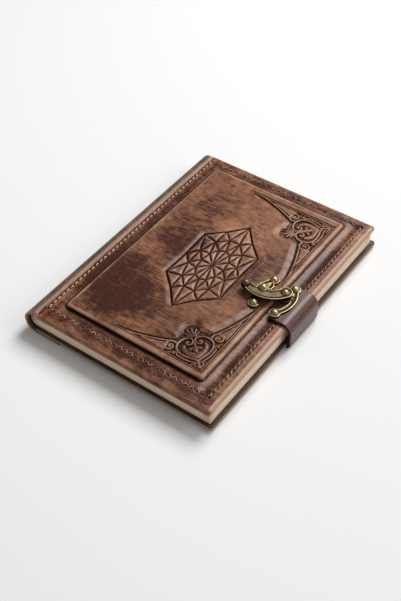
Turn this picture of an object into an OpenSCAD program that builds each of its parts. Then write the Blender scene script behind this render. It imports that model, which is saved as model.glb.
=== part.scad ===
// Leather notebook with a tooled front cover, a wrap-round strap and a brass swing clasp.
// X runs from the spine to the fore edge, Y from tail to head, Z up. It lies on its back cover.
// The origin is on the table, under the middle of the whole object.

/* [Covers] */
// Width of a cover, spine edge to fore edge
cover_w = 152; // [130:1:180]
// Height of a cover, tail to head
cover_h = 216; // [190:1:250]
// Corner radius of a cover, seen from above
cover_corner_r = 2; // [2:0.5:6]
// Thickness of the covering leather on boards and edges
leather_t = 1.3; // [1:0.1:2]
// Thickness of a cover board
board_t = 1.9; // [1.5:0.1:3]
// Thickness of the inner lining
lining_t = 0.4; // [0.3:0.1:0.8]
// Width of leather that shows round the lining
turn_in = 4; // [3:0.5:8]
// Radius that rounds a cover's outer edge
edge_r = 1.3; // [0.8:0.1:1.6]

/* [Pages and spine] */
// Thickness of the block of pages
pages_t = 11.1; // [8:0.1:25]
// Inset of the pages from the covers at head and tail
square = 2.8; // [2:0.1:5]
// Inset of the pages from the front cover's fore edge
square_fore = 1.3; // [1:0.1:5]
// How much further than the front cover the back cover reaches at the fore edge
back_reach = 2; // [0:0.1:3]
// Free height between the pages and the closed front cover
page_gap = 0.3; // [0.2:0.1:0.6]
// How far the rounded spine stands out behind the covers
spine_bulge = 8.5; // [7:0.1:12]
// How far the rounded back of the pages stands out behind the covers
page_round = 4.2; // [3:0.1:6]
// Thickness of the spine leather at its outermost
spine_t = 2.3; // [1.5:0.1:3]
// Thickness of the leather glued under the back cover
underlay_t = 0.9; // [0.7:0.1:1.5]
// Width of the spine leather under the back cover
spine_leg = 22; // [15:1:30]
// Width of the spine leather inside the front cover
flap_w = 15; // [10:1:22]
// Thickness of the spine leather inside the front cover
flap_t = 0.6; // [0.5:0.1:0.7]
// Free gap between the spine and the front cover's edge
joint_gap = 0.4; // [0.3:0.1:1]
// Radius of the rib along the spine edge of the front cover
rib_r = 1.5; // [1.2:0.1:2]
// Height of the rib above the cover
rib_rise = 0.6; // [0.3:0.1:0.8]

/* [Raised panel] */
// Margin from the spine edge to the panel
panel_spine = 15; // [13:0.5:22]
// Margin from the fore edge to the panel
panel_fore = 18.5; // [17:0.5:24]
// Margin from the head to the panel
panel_head = 13.5; // [12:0.5:20]
// Margin from the tail to the panel
panel_tail = 18.5; // [16:0.5:24]
// Height of the panel above the margins
panel_rise = 2.4; // [1.8:0.1:3]
// Width of the panel's rounded shoulder
panel_roll = 2.2; // [1.5:0.1:3]
// Thickness of the board under the panel
panel_board_t = 1.3; // [0.8:0.1:1.5]
// Inset of that board from the panel's foot
panel_board_inset = 4; // [3.5:0.5:8]
// Depth of the carving below the panel's face
carve_d = 1.3; // [0.8:0.1:1.6]
// Plain rim between the corner carving and the panel's foot
corner_rim = 4.4; // [3.5:0.1:6]

/* [Medallion] */
// Half width of the facetted medallion
medal_a = 27; // [18:1:32]
// Half height of the facetted medallion
medal_b = 48; // [34:1:56]
// Number of points round the medallion
medal_n = 12; // [8:2:16]
// Height of its facets above the panel's face
medal_rise = 0.5; // [0.2:0.1:1]
// Width of the grooves between its facets
medal_groove = 1.1; // [0.8:0.1:1.6]

/* [Stitching] */
// Inset of the stitch row at the spine edge
stitch_spine = 6; // [5:0.5:8]
// Inset of the stitch row at the fore edge
stitch_fore = 7.6; // [6:0.1:9]
// Inset of the stitch row at the head
stitch_head = 7; // [6:0.5:8]
// Inset of the stitch row at the tail
stitch_tail = 11; // [8:0.5:12]
// Distance from one stitch to the next
stitch_pitch = 4.6; // [3.5:0.1:8]
// Length of a stitch
stitch_len = 3.2; // [2:0.1:3.3]
// Width of the thread
thread_w = 0.9; // [0.7:0.1:1.2]
// Depth of the channel that the stitches lie in
channel_d = 0.4; // [0.3:0.05:0.6]
// Height of a stitch above the leather
stitch_rise = 0.15; // [0.1:0.05:0.25]

/* [Strap] */
// Width of the strap
strap_w = 37; // [30:1:50]
// Thickness of the strap
strap_t = 2; // [1.6:0.1:2.6]
// How far the strap stands out past the fore edge
strap_bulge = 5; // [4.5:0.1:8]
// Inner radius of the strap's bend at the top
strap_bend_r = 6.2; // [4.5:0.1:6.6]
// How far the strap reaches onto the front cover
strap_reach = 15; // [13:0.5:17]
// Length of the strap glued under the back cover
strap_tail_len = 46; // [30:1:70]
// Free height between the strap and the front cover
strap_gap = 0.5; // [0.4:0.1:1]
// Corner radius of the strap's end
strap_corner_r = 4; // [2:0.5:8]

/* [Clasp] */
// Thickness of the two clasp plates
plate_t = 1.4; // [1:0.1:2]
// Distance between the two lugs of a plate
lug_pitch = 27; // [22:0.5:30]
// Radius of a lug's foot
lug_r = 4.2; // [3.6:0.1:5]
// Radius of a rivet's domed head
dome_r = 3.4; // [2.8:0.1:4]
// Height of a rivet's domed head
dome_h = 2.4; // [1.6:0.1:2.5]
// Radius of a rivet's shank
shank_r = 1.2; // [0.9:0.1:1.5]
// Radius of the washer under a rivet
washer_r = 3; // [2.5:0.1:4]
// Thickness of the washer under a rivet
washer_t = 0.5; // [0.4:0.1:0.8]
// Distance from the fore edge to the strap plate's lugs
strap_lug_inset = 12; // [11:0.5:12.5]
// Distance from the fore edge to the catch plate's lugs
catch_lug_inset = 29.5; // [29:0.5:34]
// Distance from the fore edge to the arm's pivot
pivot_inset = 14.1; // [14:0.1:15]
// Sideways place of the arm's pivot, towards the head
pivot_y = 3.6; // [2:0.1:5]
// Radius of the pivot pin
pivot_r = 1.6; // [1.2:0.1:2]
// Running clearance of the arm on its pin
pivot_clear = 0.05; // [0.02:0.01:0.1]
// Radius of the round eye at the arm's pivot
eye_r = 5.2; // [4.6:0.1:6]
// Distance from the pivot to the catch post, along X
post_reach = 15.6; // [14:0.1:17]
// Sideways place of the catch post
post_y = -0.8; // [-2:0.1:1]
// Radius of the catch post's neck
post_r = 2; // [1.5:0.1:2.4]
// Clearance of the arm's hook round the post
hook_clear = 0.35; // [0.3:0.05:0.6]
// Height of the arm's underside above the cover's margin
arm_lift = 6.6; // [6.5:0.1:7.5]
// Thickness of the arm
arm_t = 1.8; // [1.4:0.1:2.4]
// Radius of the finger ball on the arm
ball_r = 3.2; // [2.6:0.1:3.6]
// Distance from the pivot to the finger ball, along X
ball_reach = 27.8; // [26:0.1:30]
// Sideways place of the finger ball
ball_y = -4.6; // [-6:0.1:-3]

/* [Hidden] */
eps = 0.01;
fit = 0.02;
// How far the threads underneath stay above the table
sunk = 0.05;
// How much wider than its thread a channel is
channel_spare = 0.6;
slab_fn = 32;
round_fn = 48;
cover_t = leather_t + board_t + lining_t;
back_z = underlay_t;
pages_z = back_z + cover_t;
front_z = pages_z + pages_t + page_gap;
face_z = front_z + cover_t;
panel_z = face_z + panel_rise;
half_w = cover_w / 2;
half_h = cover_h / 2;
spine_x = -half_w;
fore_x = half_w;
// The strap and the spine stand out by different amounts, so the middle is shifted by this.
middle_x = (strap_bulge - spine_bulge) / 2;
panel_x0 = spine_x + panel_spine;
panel_x1 = fore_x - panel_fore;
panel_y0 = -half_h + panel_tail;
panel_y1 = half_h - panel_head;
medal_x = 0.5;
medal_y = 2;
spine_lap = 0.8;
spine_top = front_z + leather_t + lining_t + spine_lap;
strap_z = face_z + strap_gap;
strap_top = strap_z + strap_t;
strap_hinge_x = fore_x + strap_bulge - strap_t / 2;
plate_z = strap_top;
lug_y = lug_pitch / 2;
pivot_x = fore_x - pivot_inset;
arm_z = face_z + arm_lift;
boss_gap = 0.1;
post_x = pivot_x - post_reach;
ball_x = pivot_x - ball_reach;
strap_lug_x = fore_x - strap_lug_inset;
catch_lug_x = fore_x - catch_lug_inset;

// Shared shapes

// Everything is drawn about the covers' middle and set over the origin here.
module placed() {
    translate([-middle_x, 0, 0]) children();
}

module block(x0, x1, y0, y1, z0, z1) {
    translate([x0, y0, z0]) cube([x1 - x0, y1 - y0, z1 - z0]);
}

// A cover-sized slab with its outer edge rounded; the rounded side is up.
module cover_slab(t, r_out, r_in, reach = 0) {
    profile = concat(
        [[0, 0], [cover_corner_r - r_in, 0]],
        [for (a = [-67.5 : 22.5 : 0]) [cover_corner_r - r_in + r_in * cos(a), r_in + r_in * sin(a)]],
        [for (a = [0 : 22.5 : 90]) [cover_corner_r - r_out + r_out * cos(a), t - r_out + r_out * sin(a)]],
        [[0, t]]);
    hull()
        for (sx = [-1, 1], sy = [-1, 1])
            translate([sx * (half_w - cover_corner_r) + max(sx, 0) * reach,
                       sy * (half_h - cover_corner_r), 0])
                rotate_extrude($fn = slab_fn) polygon(profile);
}

// The stretch of a row that stays clear of the two crossing rows.
function row_count(span) = floor(span / stitch_pitch);

// One stitch along X, its flat foot on z = 0.
module stitch(height) {
    rotate([90, 0, 90])
        linear_extrude(stitch_len, center = true)
            polygon([[-thread_w / 2, 0], [thread_w / 2, 0], [thread_w / 2, height * 0.55],
                     [thread_w / 4, height], [-thread_w / 4, height], [-thread_w / 2, height * 0.55]]);
}

// A row of stitches from one point to another along X or Y.
module stitch_row(from, to, along_y, height) {
    span = along_y ? to[1] - from[1] : to[0] - from[0];
    n = row_count(span);
    start = (span - (n - 1) * stitch_pitch) / 2;
    for (i = [0 : n - 1])
        translate([from[0] + (along_y ? 0 : start + i * stitch_pitch),
                   from[1] + (along_y ? start + i * stitch_pitch : 0), 0])
            rotate([0, 0, along_y ? 90 : 0]) stitch(height);
}

// The four rows of the border, each clear of the others at the corners.
module border_rows(height) {
    x0 = spine_x + stitch_spine;
    x1 = fore_x - stitch_fore;
    y0 = -half_h + stitch_tail;
    y1 = half_h - stitch_head;
    stitch_row([x0, y0], [x0, y1], true, height);
    stitch_row([x1, y0], [x1, y1], true, height);
    stitch_row([x0 + thread_w, y0], [x1 - thread_w, y0], false, height);
    stitch_row([x0 + thread_w, y1], [x1 - thread_w, y1], false, height);
}

// The channel pressed into the leather for the border, as a frame to cut away.
module border_channel(depth) {
    w = thread_w + channel_spare;
    x0 = spine_x + stitch_spine;
    x1 = fore_x - stitch_fore;
    y0 = -half_h + stitch_tail;
    y1 = half_h - stitch_head;
    linear_extrude(depth + eps)
        difference() {
            translate([x0 - w / 2, y0 - w / 2]) square([x1 - x0 + w, y1 - y0 + w]);
            translate([x0 + w / 2, y0 + w / 2]) square([x1 - x0 - w, y1 - y0 - w]);
        }
}

// Carved corner, drawn in the quarter plane u, v from the carving's own corner

wing_len = 76;
wing_tip = 2.2;
wing_nose = 4;
neck_u = 33;
neck_v = 14;
neck_step = 4;
cartouche_at = 17;
cartouche_r = 14;
head_inset = 2;
rib_line_w = 1.2;
inner_line_w = 1;
inner_line_in = 4.2;
line_in = 1.4;
big_scroll_at = [31.6, 7];
big_scroll_r = 4.1;
foot_scroll_at = [18.4, 4.6];
foot_scroll_r = 3;
side_scroll_at = [13.6, 23.4];
side_scroll_r = 3.6;
scroll_w = 1.3;
long_leaf = [14, 4.4];
long_leaf_at = [18.6, 18.6];
back_leaf = [9, 4];
back_leaf_at = [14.8, 14.8];
fleur_leaf = [7, 3.4];
fleur_at = [2, 2];
crown_leaf = [5, 2.6];
crown_at = [22.6, 26];
foot_leaf = [5.4, 2];
foot_leaf_at = [24.6, 3];
end_leaf = [6, 2.2];
end_leaf_at = [8, 2.6];
boss_r = 2;
boss_step = 30;

// Height of the wing's outer curve at a distance u from the corner: a blunt tip, then a long rise.
function wing_v(u) = wing_tip * min(1, (wing_len - u) / wing_nose)
    + (neck_v - wing_tip) * pow((wing_len - u) / (wing_len - neck_u), 1.6);

module wing_field() {
    polygon(concat([[0, 0], [wing_len, 0]],
                   [for (i = [1 : 10]) let (u = wing_len - i * (wing_len - neck_u) / 10) [u, wing_v(u)]],
                   [[neck_u - 1.5 * neck_step, neck_v + neck_step], [0, neck_v + neck_step]]));
}

module both_ways() {
    children();
    mirror([1, -1, 0]) children();
}

// A disc drawn with flat sides, as a stamp cuts it.
module disc(r, step = 15) {
    polygon([for (a = [0 : step : 359]) r * [cos(a), sin(a)]]);
}

module corner_field() {
    both_ways() wing_field();
    translate([cartouche_at, cartouche_at]) disc(cartouche_r);
}

// A band of even width that follows the wing's curve at an inset.
module wing_rib(inset, w) {
    n = 9;
    us = [for (i = [0 : n]) neck_u + (i + 0.8) * (wing_len - neck_u) / (n + 1.8)];
    polygon(concat([for (u = us) [u, max(wing_v(u) - inset, rib_line_w + w)]],
                   [for (i = [0 : n]) let (u = us[n - i]) [u, max(wing_v(u) - inset - w, rib_line_w)]]));
}

// A C scroll: a band that winds in from radius r and ends in a round boss.
scroll_turn = 300;
scroll_taper = 0.45;
function scroll_pt(r, i, n) =
    let (a = scroll_turn * i / n, k = r * (1 - scroll_taper * i / n)) k * [cos(a), sin(a)];
module scroll(r, w, turn, hand) {
    n = 15;
    rotate(turn) mirror([0, hand > 0 ? 0 : 1]) {
        polygon(concat([for (i = [0 : n]) scroll_pt(r + w / 2, i, n)],
                       [for (i = [n : -1 : 0]) scroll_pt(r - w / 2, i, n)]));
        disc(r * 0.34, boss_step);
    }
}

// A pointed leaf from the origin along +u.
module leaf(size) {
    len = size[0];
    w = size[1];
    polygon([[0, 0], [len * 0.35, w / 2], [len * 0.7, w * 0.42], [len, 0],
             [len * 0.7, -w * 0.42], [len * 0.35, -w / 2]]);
}

module corner_relief() {
    both_ways() {
        wing_rib(line_in, rib_line_w);
        wing_rib(inner_line_in, inner_line_w);
        translate(big_scroll_at) scroll(big_scroll_r, scroll_w, 200, 1);
        translate(foot_scroll_at) scroll(foot_scroll_r, scroll_w, 20, -1);
        translate(side_scroll_at) scroll(side_scroll_r, scroll_w, 120, -1);
        translate(foot_leaf_at) rotate(8) leaf(foot_leaf);
        translate(end_leaf_at) rotate(12) leaf(end_leaf);
        translate(crown_at) rotate(58) leaf(crown_leaf);
    }
    translate(long_leaf_at) rotate(45) leaf(long_leaf);
    translate(back_leaf_at) rotate(225) leaf(back_leaf);
    translate([cartouche_at, cartouche_at]) disc(boss_r, boss_step);
    translate(fleur_at) rotate(45) leaf(fleur_leaf);
}

// Puts a corner drawing at the head (1) or the tail (-1) end of the panel's fore edge.
module at_corner(end) {
    x = panel_x1 - corner_rim;
    y = end > 0 ? panel_y1 - corner_rim - head_inset : panel_y0 + corner_rim;
    translate([x, y]) mirror([1, 0]) mirror([0, end > 0 ? 1 : 0]) children();
}

// Facetted medallion

// Point i of ring k; rings run from the middle out, ring 2 is turned by half a step,
// and the outline has long and short points in turn.
ring_share = [0, 0.36, 0.62, 1];
short_point = 0.84;
function ring_pt(k, i) =
    let (a = 360 / medal_n * (i + (k == 2 ? 0.5 : 0)) + 90,
         reach = ring_share[k] * (k == 3 && i % 2 == 1 ? short_point : 1))
    [medal_x + medal_a * reach * cos(a), medal_y + medal_b * reach * sin(a)];

function facets() = concat(
    [for (i = [0 : medal_n - 1]) [ring_pt(0, 0), ring_pt(1, i), ring_pt(1, i + 1)]],
    [for (i = [0 : medal_n - 1]) [ring_pt(1, i), ring_pt(2, i), ring_pt(1, i + 1)]],
    [for (i = [0 : medal_n - 1]) [ring_pt(2, i), ring_pt(2, i + 1), ring_pt(1, i + 1)]],
    [for (i = [0 : medal_n - 1]) [ring_pt(2, i), ring_pt(3, i + 1), ring_pt(2, i + 1)]],
    [for (i = [0 : medal_n - 1]) [ring_pt(2, i), ring_pt(3, i), ring_pt(3, i + 1)]]);

function middle(t) = (t[0] + t[1] + t[2]) / 3;
// Radius of the circle inside a triangle, which sets how far its sides can move in.
function inradius(t) =
    let (a = norm(t[1] - t[2]), b = norm(t[2] - t[0]), c = norm(t[0] - t[1]), s = (a + b + c) / 2)
    sqrt((s - a) * (s - b) * (s - c) / s);
function incentre(t) =
    let (a = norm(t[1] - t[2]), b = norm(t[2] - t[0]), c = norm(t[0] - t[1]))
    (a * t[0] + b * t[1] + c * t[2]) / (a + b + c);
function shrink(t, d) =
    let (m = incentre(t), k = max(1 - d / inradius(t), 0.1)) [for (p = t) m + k * (p - m)];
function at_z(t, z) = [for (p = t) [p[0], p[1], z]];
function is_ccw(t) =
    (t[1][0] - t[0][0]) * (t[2][1] - t[0][1]) - (t[1][1] - t[0][1]) * (t[2][0] - t[0][0]) > 0;

// One facet: a low triangular pyramid with steep sides.
facet_edge_drop = 0.7;
module facet(tri, low, high) {
    t = is_ccw(tri) ? tri : [tri[0], tri[2], tri[1]];
    apex = incentre(t) * 0.6 + t[0] * 0.4;
    polyhedron(
        points = concat(at_z(shrink(t, medal_groove * 0.35), low),
                        at_z(shrink(t, medal_groove * 0.8), high - facet_edge_drop),
                        [[apex[0], apex[1], high]]),
        faces = [[0, 1, 2], [0, 3, 4, 1], [1, 4, 5, 2], [2, 5, 3, 0], [4, 3, 6], [5, 4, 6], [3, 5, 6]]);
}

module medal_outline(grow) {
    c = [medal_x, medal_y];
    polygon([for (i = [0 : medal_n - 1]) c + (ring_pt(3, i) - c) * (1 + grow / medal_a)]);
}

// Covers

module board_pocket(z0, z1, inset, reach = 0) {
    block(spine_x + inset, fore_x + reach - inset, -half_h + inset, half_h - inset, z0, z1);
}

module raised_panel() {
    hull()
        for (a = [0 : 22.5 : 90]) {
            in = panel_roll * (1 - cos(a));
            block(panel_x0 + in, panel_x1 - in, panel_y0 + in, panel_y1 - in,
                  face_z - eps, face_z + (panel_rise - eps) * sin(a) + eps);
        }
}

// Upright holes for the catch plate's two rivets and its post.
module catch_drill(r, z0, z1) {
    for (s = [-1, 1]) translate([catch_lug_x, s * lug_y, z0]) cylinder(r = r, h = z1 - z0, $fn = round_fn);
    translate([post_x, post_y, z0]) cylinder(r = r, h = z1 - z0, $fn = round_fn);
}

board_z = front_z + lining_t;
board_top = board_z + board_t;
facet_root = 0.2;
inner_edge_r = 0.4;
rib_inset = 0.3;
flap_inset = 0.2;
panel_board_top = board_top + panel_board_t;

module front_leather() color("saddlebrown") placed() {
    difference() {
        union() {
            translate([0, 0, front_z]) cover_slab(cover_t, edge_r, inner_edge_r);
            raised_panel();
            translate([spine_x + rib_r + rib_inset, 0, face_z + rib_rise - rib_r])
                along_y(cover_h - 2 * cover_corner_r) disc(rib_r);
        }
        board_pocket(board_z, board_top, leather_t);
        block(panel_x0 + panel_board_inset, panel_x1 - panel_board_inset, panel_y0 + panel_board_inset,
              panel_y1 - panel_board_inset, board_top - eps, panel_board_top);
        board_pocket(front_z - 1, board_z + eps, turn_in);
        block(spine_x - 1, spine_x + flap_w, -half_h + turn_in, half_h - turn_in,
              front_z - 1, board_z + eps);
        translate([0, 0, face_z - channel_d]) border_channel(channel_d + panel_rise);
        translate([0, 0, panel_z - carve_d]) linear_extrude(carve_d + 1) {
            medal_outline(medal_groove);
            for (end = [-1, 1]) at_corner(end) corner_field();
        }
        catch_drill(shank_r + fit, panel_board_top - 1, panel_z + 1);
    }
    for (t = facets()) facet(t, panel_z - carve_d - facet_root, panel_z + medal_rise);
    translate([0, 0, panel_z - carve_d - eps]) linear_extrude(carve_d * 0.8)
        for (end = [-1, 1]) at_corner(end) intersection() {
            corner_relief();
            corner_field();
        }
}

module front_board() color("tan") placed() difference() {
    board_pocket(board_z, board_top, leather_t);
    catch_drill(shank_r + fit, board_z - 1, board_top + 1);
    catch_drill(washer_r + fit, board_z - 1, board_z + washer_t);
}

module panel_board() color("tan") placed() difference() {
    block(panel_x0 + panel_board_inset, panel_x1 - panel_board_inset, panel_y0 + panel_board_inset,
          panel_y1 - panel_board_inset, board_top, panel_board_top);
    catch_drill(shank_r + fit, board_top - 1, panel_board_top + 1);
}

module front_lining() color("#4a3020") placed()
    block(spine_x + flap_w, fore_x - turn_in, -half_h + turn_in, half_h - turn_in, front_z, board_z);

module hinge_flap() color("#3a2418") placed()
    block(spine_x + flap_inset, spine_x + flap_w, -half_h + turn_in, half_h - turn_in,
          board_z - flap_t, board_z);

module front_stitches() color("burlywood") placed()
    translate([0, 0, face_z - channel_d]) border_rows(channel_d + stitch_rise);

back_board_z = back_z + leather_t;

module back_leather() color("saddlebrown") placed() difference() {
    translate([0, 0, back_z + cover_t]) mirror([0, 0, 1])
        cover_slab(cover_t, edge_r, inner_edge_r, back_reach);
    board_pocket(back_board_z, back_board_z + board_t, leather_t, back_reach);
    board_pocket(back_board_z + board_t - eps, pages_z + 1, turn_in, back_reach);
    translate([0, 0, back_z - eps]) border_channel(channel_d);
}

module back_board() color("tan") placed()
    board_pocket(back_board_z, back_board_z + board_t, leather_t, back_reach);

module back_lining() color("#4a3020") placed()
    board_pocket(back_board_z + board_t, pages_z, turn_in, back_reach);

module back_stitches() color("burlywood") placed()
    translate([0, 0, back_z + channel_d]) mirror([0, 0, 1]) difference() {
        border_rows(channel_d - sunk);
        block(spine_x - 1, spine_x + spine_leg + 1, -half_h, half_h, -1, 1);
        block(fore_x - strap_tail_len - 1, fore_x, -strap_w / 2 - 1, strap_w / 2 + 1, -1, 1);
    }

// Pages and spine

page_mid = pages_z + pages_t / 2;
page_len = cover_h - 2 * square;

// Half of an ellipse behind the covers' spine edge, from bottom to top.
arc_steps = 16;
function back_arc(ax, az, mid, n = arc_steps) =
    [for (i = [0 : n]) let (a = -90 - 180 * i / n) [spine_x - joint_gap + ax * cos(a), mid + az * sin(a)]];

module along_y(len) {
    translate([0, len / 2, 0]) rotate([90, 0, 0]) linear_extrude(len) children();
}

module text_block() color("wheat") placed() along_y(page_len)
    polygon(concat([[fore_x - square_fore, pages_z]], back_arc(page_round, pages_t / 2, page_mid),
                   [[fore_x - square_fore, pages_z + pages_t]]));

spine_mid = spine_top / 2;
liner_ax = spine_bulge - joint_gap - spine_t;
liner_az = spine_mid - underlay_t;

module spine_leather() color("#3a2418") placed() along_y(cover_h)
    polygon(concat(back_arc(spine_bulge - joint_gap, spine_mid, spine_mid),
                   [for (i = [0 : arc_steps]) back_arc(liner_ax, liner_az, spine_mid)[arc_steps - i]]));

module back_flap() color("#3a2418") placed()
    block(spine_x, spine_x + spine_leg, -half_h, half_h, 0, underlay_t);

module spine_liner() color("#2a1a12") placed() along_y(page_len) difference() {
    polygon(back_arc(liner_ax, liner_az, spine_mid));
    polygon(back_arc(page_round, pages_t / 2, page_mid));
}

// Strap

tail_x0 = fore_x - strap_tail_len;
tail_row_in = 4;
tail_row_x = tail_x0 + tail_row_in;
tail_gap = 0.3;
tail_row_end = 3;

module strap_tail() color("#6b3a26") placed() difference() {
    block(tail_x0, strap_hinge_x - strap_t / 2 - tail_gap, -strap_w / 2, strap_w / 2, 0, underlay_t);
    block(tail_row_x - thread_w, tail_row_x + thread_w, -strap_w / 2 + tail_row_end - thread_w,
          strap_w / 2 - tail_row_end + thread_w, -1, channel_d);
}

module strap_tail_stitches() color("burlywood") placed()
    translate([tail_row_x, 0, channel_d]) mirror([0, 0, 1])
        stitch_row([0, -strap_w / 2 + tail_row_end], [0, strap_w / 2 - tail_row_end], true,
                   channel_d - sunk);

// The strap seen from the tail: up from its hinge, round the bend and onto the front cover.
strap_end_x = fore_x - strap_reach;
bend_x = fore_x + strap_bulge - strap_t - strap_bend_r;
bend_z = strap_z - strap_bend_r;

module strap_side() {
    translate([strap_hinge_x, strap_t / 2]) circle(r = strap_t / 2, $fn = 24);
    translate([strap_hinge_x - strap_t / 2, strap_t / 2]) square([strap_t, bend_z - strap_t / 2 + eps]);
    translate([bend_x, bend_z]) intersection() {
        difference() {
            circle(r = strap_bend_r + strap_t, $fn = 64);
            circle(r = strap_bend_r, $fn = 64);
        }
        square(strap_bend_r + strap_t + 1);
    }
    translate([strap_end_x, strap_z]) square([bend_x - strap_end_x + eps, strap_t]);
}

module strap_drill(r, z0, z1) {
    for (s = [-1, 1]) translate([strap_lug_x, s * lug_y, z0]) cylinder(r = r, h = z1 - z0, $fn = round_fn);
}

module pivot_drill(r, z0, z1) {
    translate([pivot_x, pivot_y, z0]) cylinder(r = r, h = z1 - z0, $fn = round_fn);
}

// What is cut off the two corners of the strap's end.
module end_corners() {
    for (s = [-1, 1])
        translate([strap_end_x, s * strap_w / 2, strap_z - 1]) mirror([0, s > 0 ? 1 : 0, 0]) difference() {
            translate([-1, -1, 0]) cube([strap_corner_r + 1, strap_corner_r + 1, strap_t + 2]);
            translate([strap_corner_r, strap_corner_r, -1])
                cylinder(r = strap_corner_r, h = strap_t + 4, $fn = round_fn);
        }
}

module strap() color("#6b3a26") placed() difference() {
    along_y(strap_w) strap_side();
    end_corners();
    strap_drill(shank_r + fit, strap_z - 1, strap_top + 1);
    strap_drill(washer_r + fit, strap_z - 1, strap_z + washer_t);
    pivot_drill(pivot_r + fit, strap_z - 1, strap_top + 1);
    pivot_drill(washer_r + fit, strap_z - 1, strap_z + washer_t);
}

// Clasp

// A rivet: a domed head on z = 0 with its shank below.
module rivet(head_r, head_h, r, depth) {
    ball = (head_r * head_r + head_h * head_h) / (2 * head_h);
    intersection() {
        translate([0, 0, head_h - ball]) sphere(r = ball, $fn = round_fn);
        cylinder(r = head_r, h = head_h + 1, $fn = round_fn);
    }
    translate([0, 0, -depth]) cylinder(r = r, h = depth + eps, $fn = round_fn);
}

module washer(outer, inner) {
    linear_extrude(washer_t) difference() {
        circle(r = outer, $fn = round_fn);
        circle(r = inner, $fn = round_fn);
    }
}

// The arched bar between two lugs, standing out to one side.
module plate_arch(x, depth, w) {
    r = (lug_y * lug_y + depth * depth) / (2 * depth);
    translate([x + depth - r, 0]) intersection() {
        difference() {
            circle(r = r + w / 2, $fn = 96);
            circle(r = r - w / 2, $fn = 96);
        }
        translate([0, -lug_y]) square([r + w, 2 * lug_y]);
    }
}

strap_arch = 5.2;
catch_arch = 4.6;
arch_w = 4.4;
boss_wall = 1.6;
pin_head_r = 2.9;
pin_head_h = 1.7;

module strap_plate() color("#8a7642") placed() {
    difference() {
        translate([0, 0, plate_z]) union() {
            linear_extrude(plate_t) {
                for (s = [-1, 1]) translate([strap_lug_x, s * lug_y]) circle(r = lug_r, $fn = round_fn);
                plate_arch(strap_lug_x, strap_arch, arch_w);
            }
            translate([pivot_x, pivot_y]) cylinder(r = eye_r, h = plate_t, $fn = round_fn);
            translate([pivot_x, pivot_y])
                cylinder(r = pivot_r + boss_wall, h = arm_z - boss_gap - plate_z, $fn = round_fn);
        }
        strap_drill(shank_r + fit, plate_z - 1, plate_z + plate_t + 1);
        pivot_drill(pivot_r + fit, plate_z - 1, arm_z + 1);
    }
}

module strap_rivets() color("#a8935a") placed()
    for (s = [-1, 1]) translate([strap_lug_x, s * lug_y, plate_z + plate_t])
        rivet(dome_r, dome_h, shank_r, plate_z + plate_t - strap_z);

module strap_washers() color("#8a7642") placed() {
    for (s = [-1, 1]) translate([strap_lug_x, s * lug_y, strap_z]) washer(washer_r, shank_r + fit);
    translate([pivot_x, pivot_y, strap_z]) washer(washer_r, pivot_r + fit);
}

module arm_pin() color("#a8935a") placed()
    translate([pivot_x, pivot_y, arm_z + arm_t + boss_gap])
        rivet(pin_head_r, pin_head_h, pivot_r, arm_z + arm_t + boss_gap - strap_z);

module catch_plate() color("#8a7642") placed() difference() {
    translate([0, 0, panel_z]) linear_extrude(plate_t) {
        for (s = [-1, 1]) translate([catch_lug_x, s * lug_y]) circle(r = lug_r, $fn = round_fn);
        translate([2 * catch_lug_x, 0]) mirror([1, 0]) plate_arch(catch_lug_x, catch_arch, arch_w);
        translate([post_x, post_y]) circle(r = eye_r, $fn = round_fn);
    }
    catch_drill(shank_r + fit, panel_z - 1, panel_z + plate_t + 1);
}

module catch_rivets() color("#a8935a") placed()
    for (s = [-1, 1]) translate([catch_lug_x, s * lug_y, panel_z + plate_t])
        rivet(dome_r, dome_h, shank_r, panel_z + plate_t - board_z);

// The post stands on the plate, its neck inside the arm's hook and its domed head above.
post_head_r = 3;
post_head_h = 1.6;
post_head_gap = 0.3;
post_head_z = arm_z + arm_t + post_head_gap;

module catch_post() color("#a8935a") placed() translate([post_x, post_y, 0]) {
    translate([0, 0, panel_z + plate_t])
        cylinder(r = post_r, h = post_head_z - panel_z - plate_t + eps, $fn = round_fn);
    translate([0, 0, post_head_z]) rivet(post_head_r, post_head_h, post_r / 2, post_head_gap);
    translate([0, 0, board_z]) cylinder(r = shank_r, h = panel_z + plate_t - board_z + eps, $fn = round_fn);
}

module catch_washers() color("#8a7642") placed() {
    for (s = [-1, 1]) translate([catch_lug_x, s * lug_y, board_z]) washer(washer_r, shank_r + fit);
    translate([post_x, post_y, board_z]) washer(washer_r, shank_r + fit);
}

// The arm is a crescent about this centre, bulging towards the tail.
crescent_back = 16;
crescent_x = pivot_x - crescent_back;
crescent_y = 13;
crescent_r = 23.8;
hollow_back = 18.4;
hollow_x = pivot_x - hollow_back;
hollow_y = 12.5;
hollow_r = 15.5;
hook_ring_r = 4.9;
arm_end_in = 5;
arm_low_y = -15;
arm_leaf = [11, 4.2];
arm_leaf_at = [-9.4, -4];
slot_reach = 14;
slot_back = 8;
post_swing = norm([post_reach, pivot_y - post_y]);

// The path that the post's neck takes out of the hook as the arm swings.
module hook_slot() {
    w = post_r + hook_clear;
    translate([post_x, post_y]) circle(r = w, $fn = round_fn);
    intersection() {
        translate([pivot_x, pivot_y]) difference() {
            circle(r = post_swing + w, $fn = 96);
            circle(r = post_swing - w, $fn = 96);
        }
        translate([post_x - slot_back, post_y]) square([slot_reach, slot_reach]);
    }
}

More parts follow.
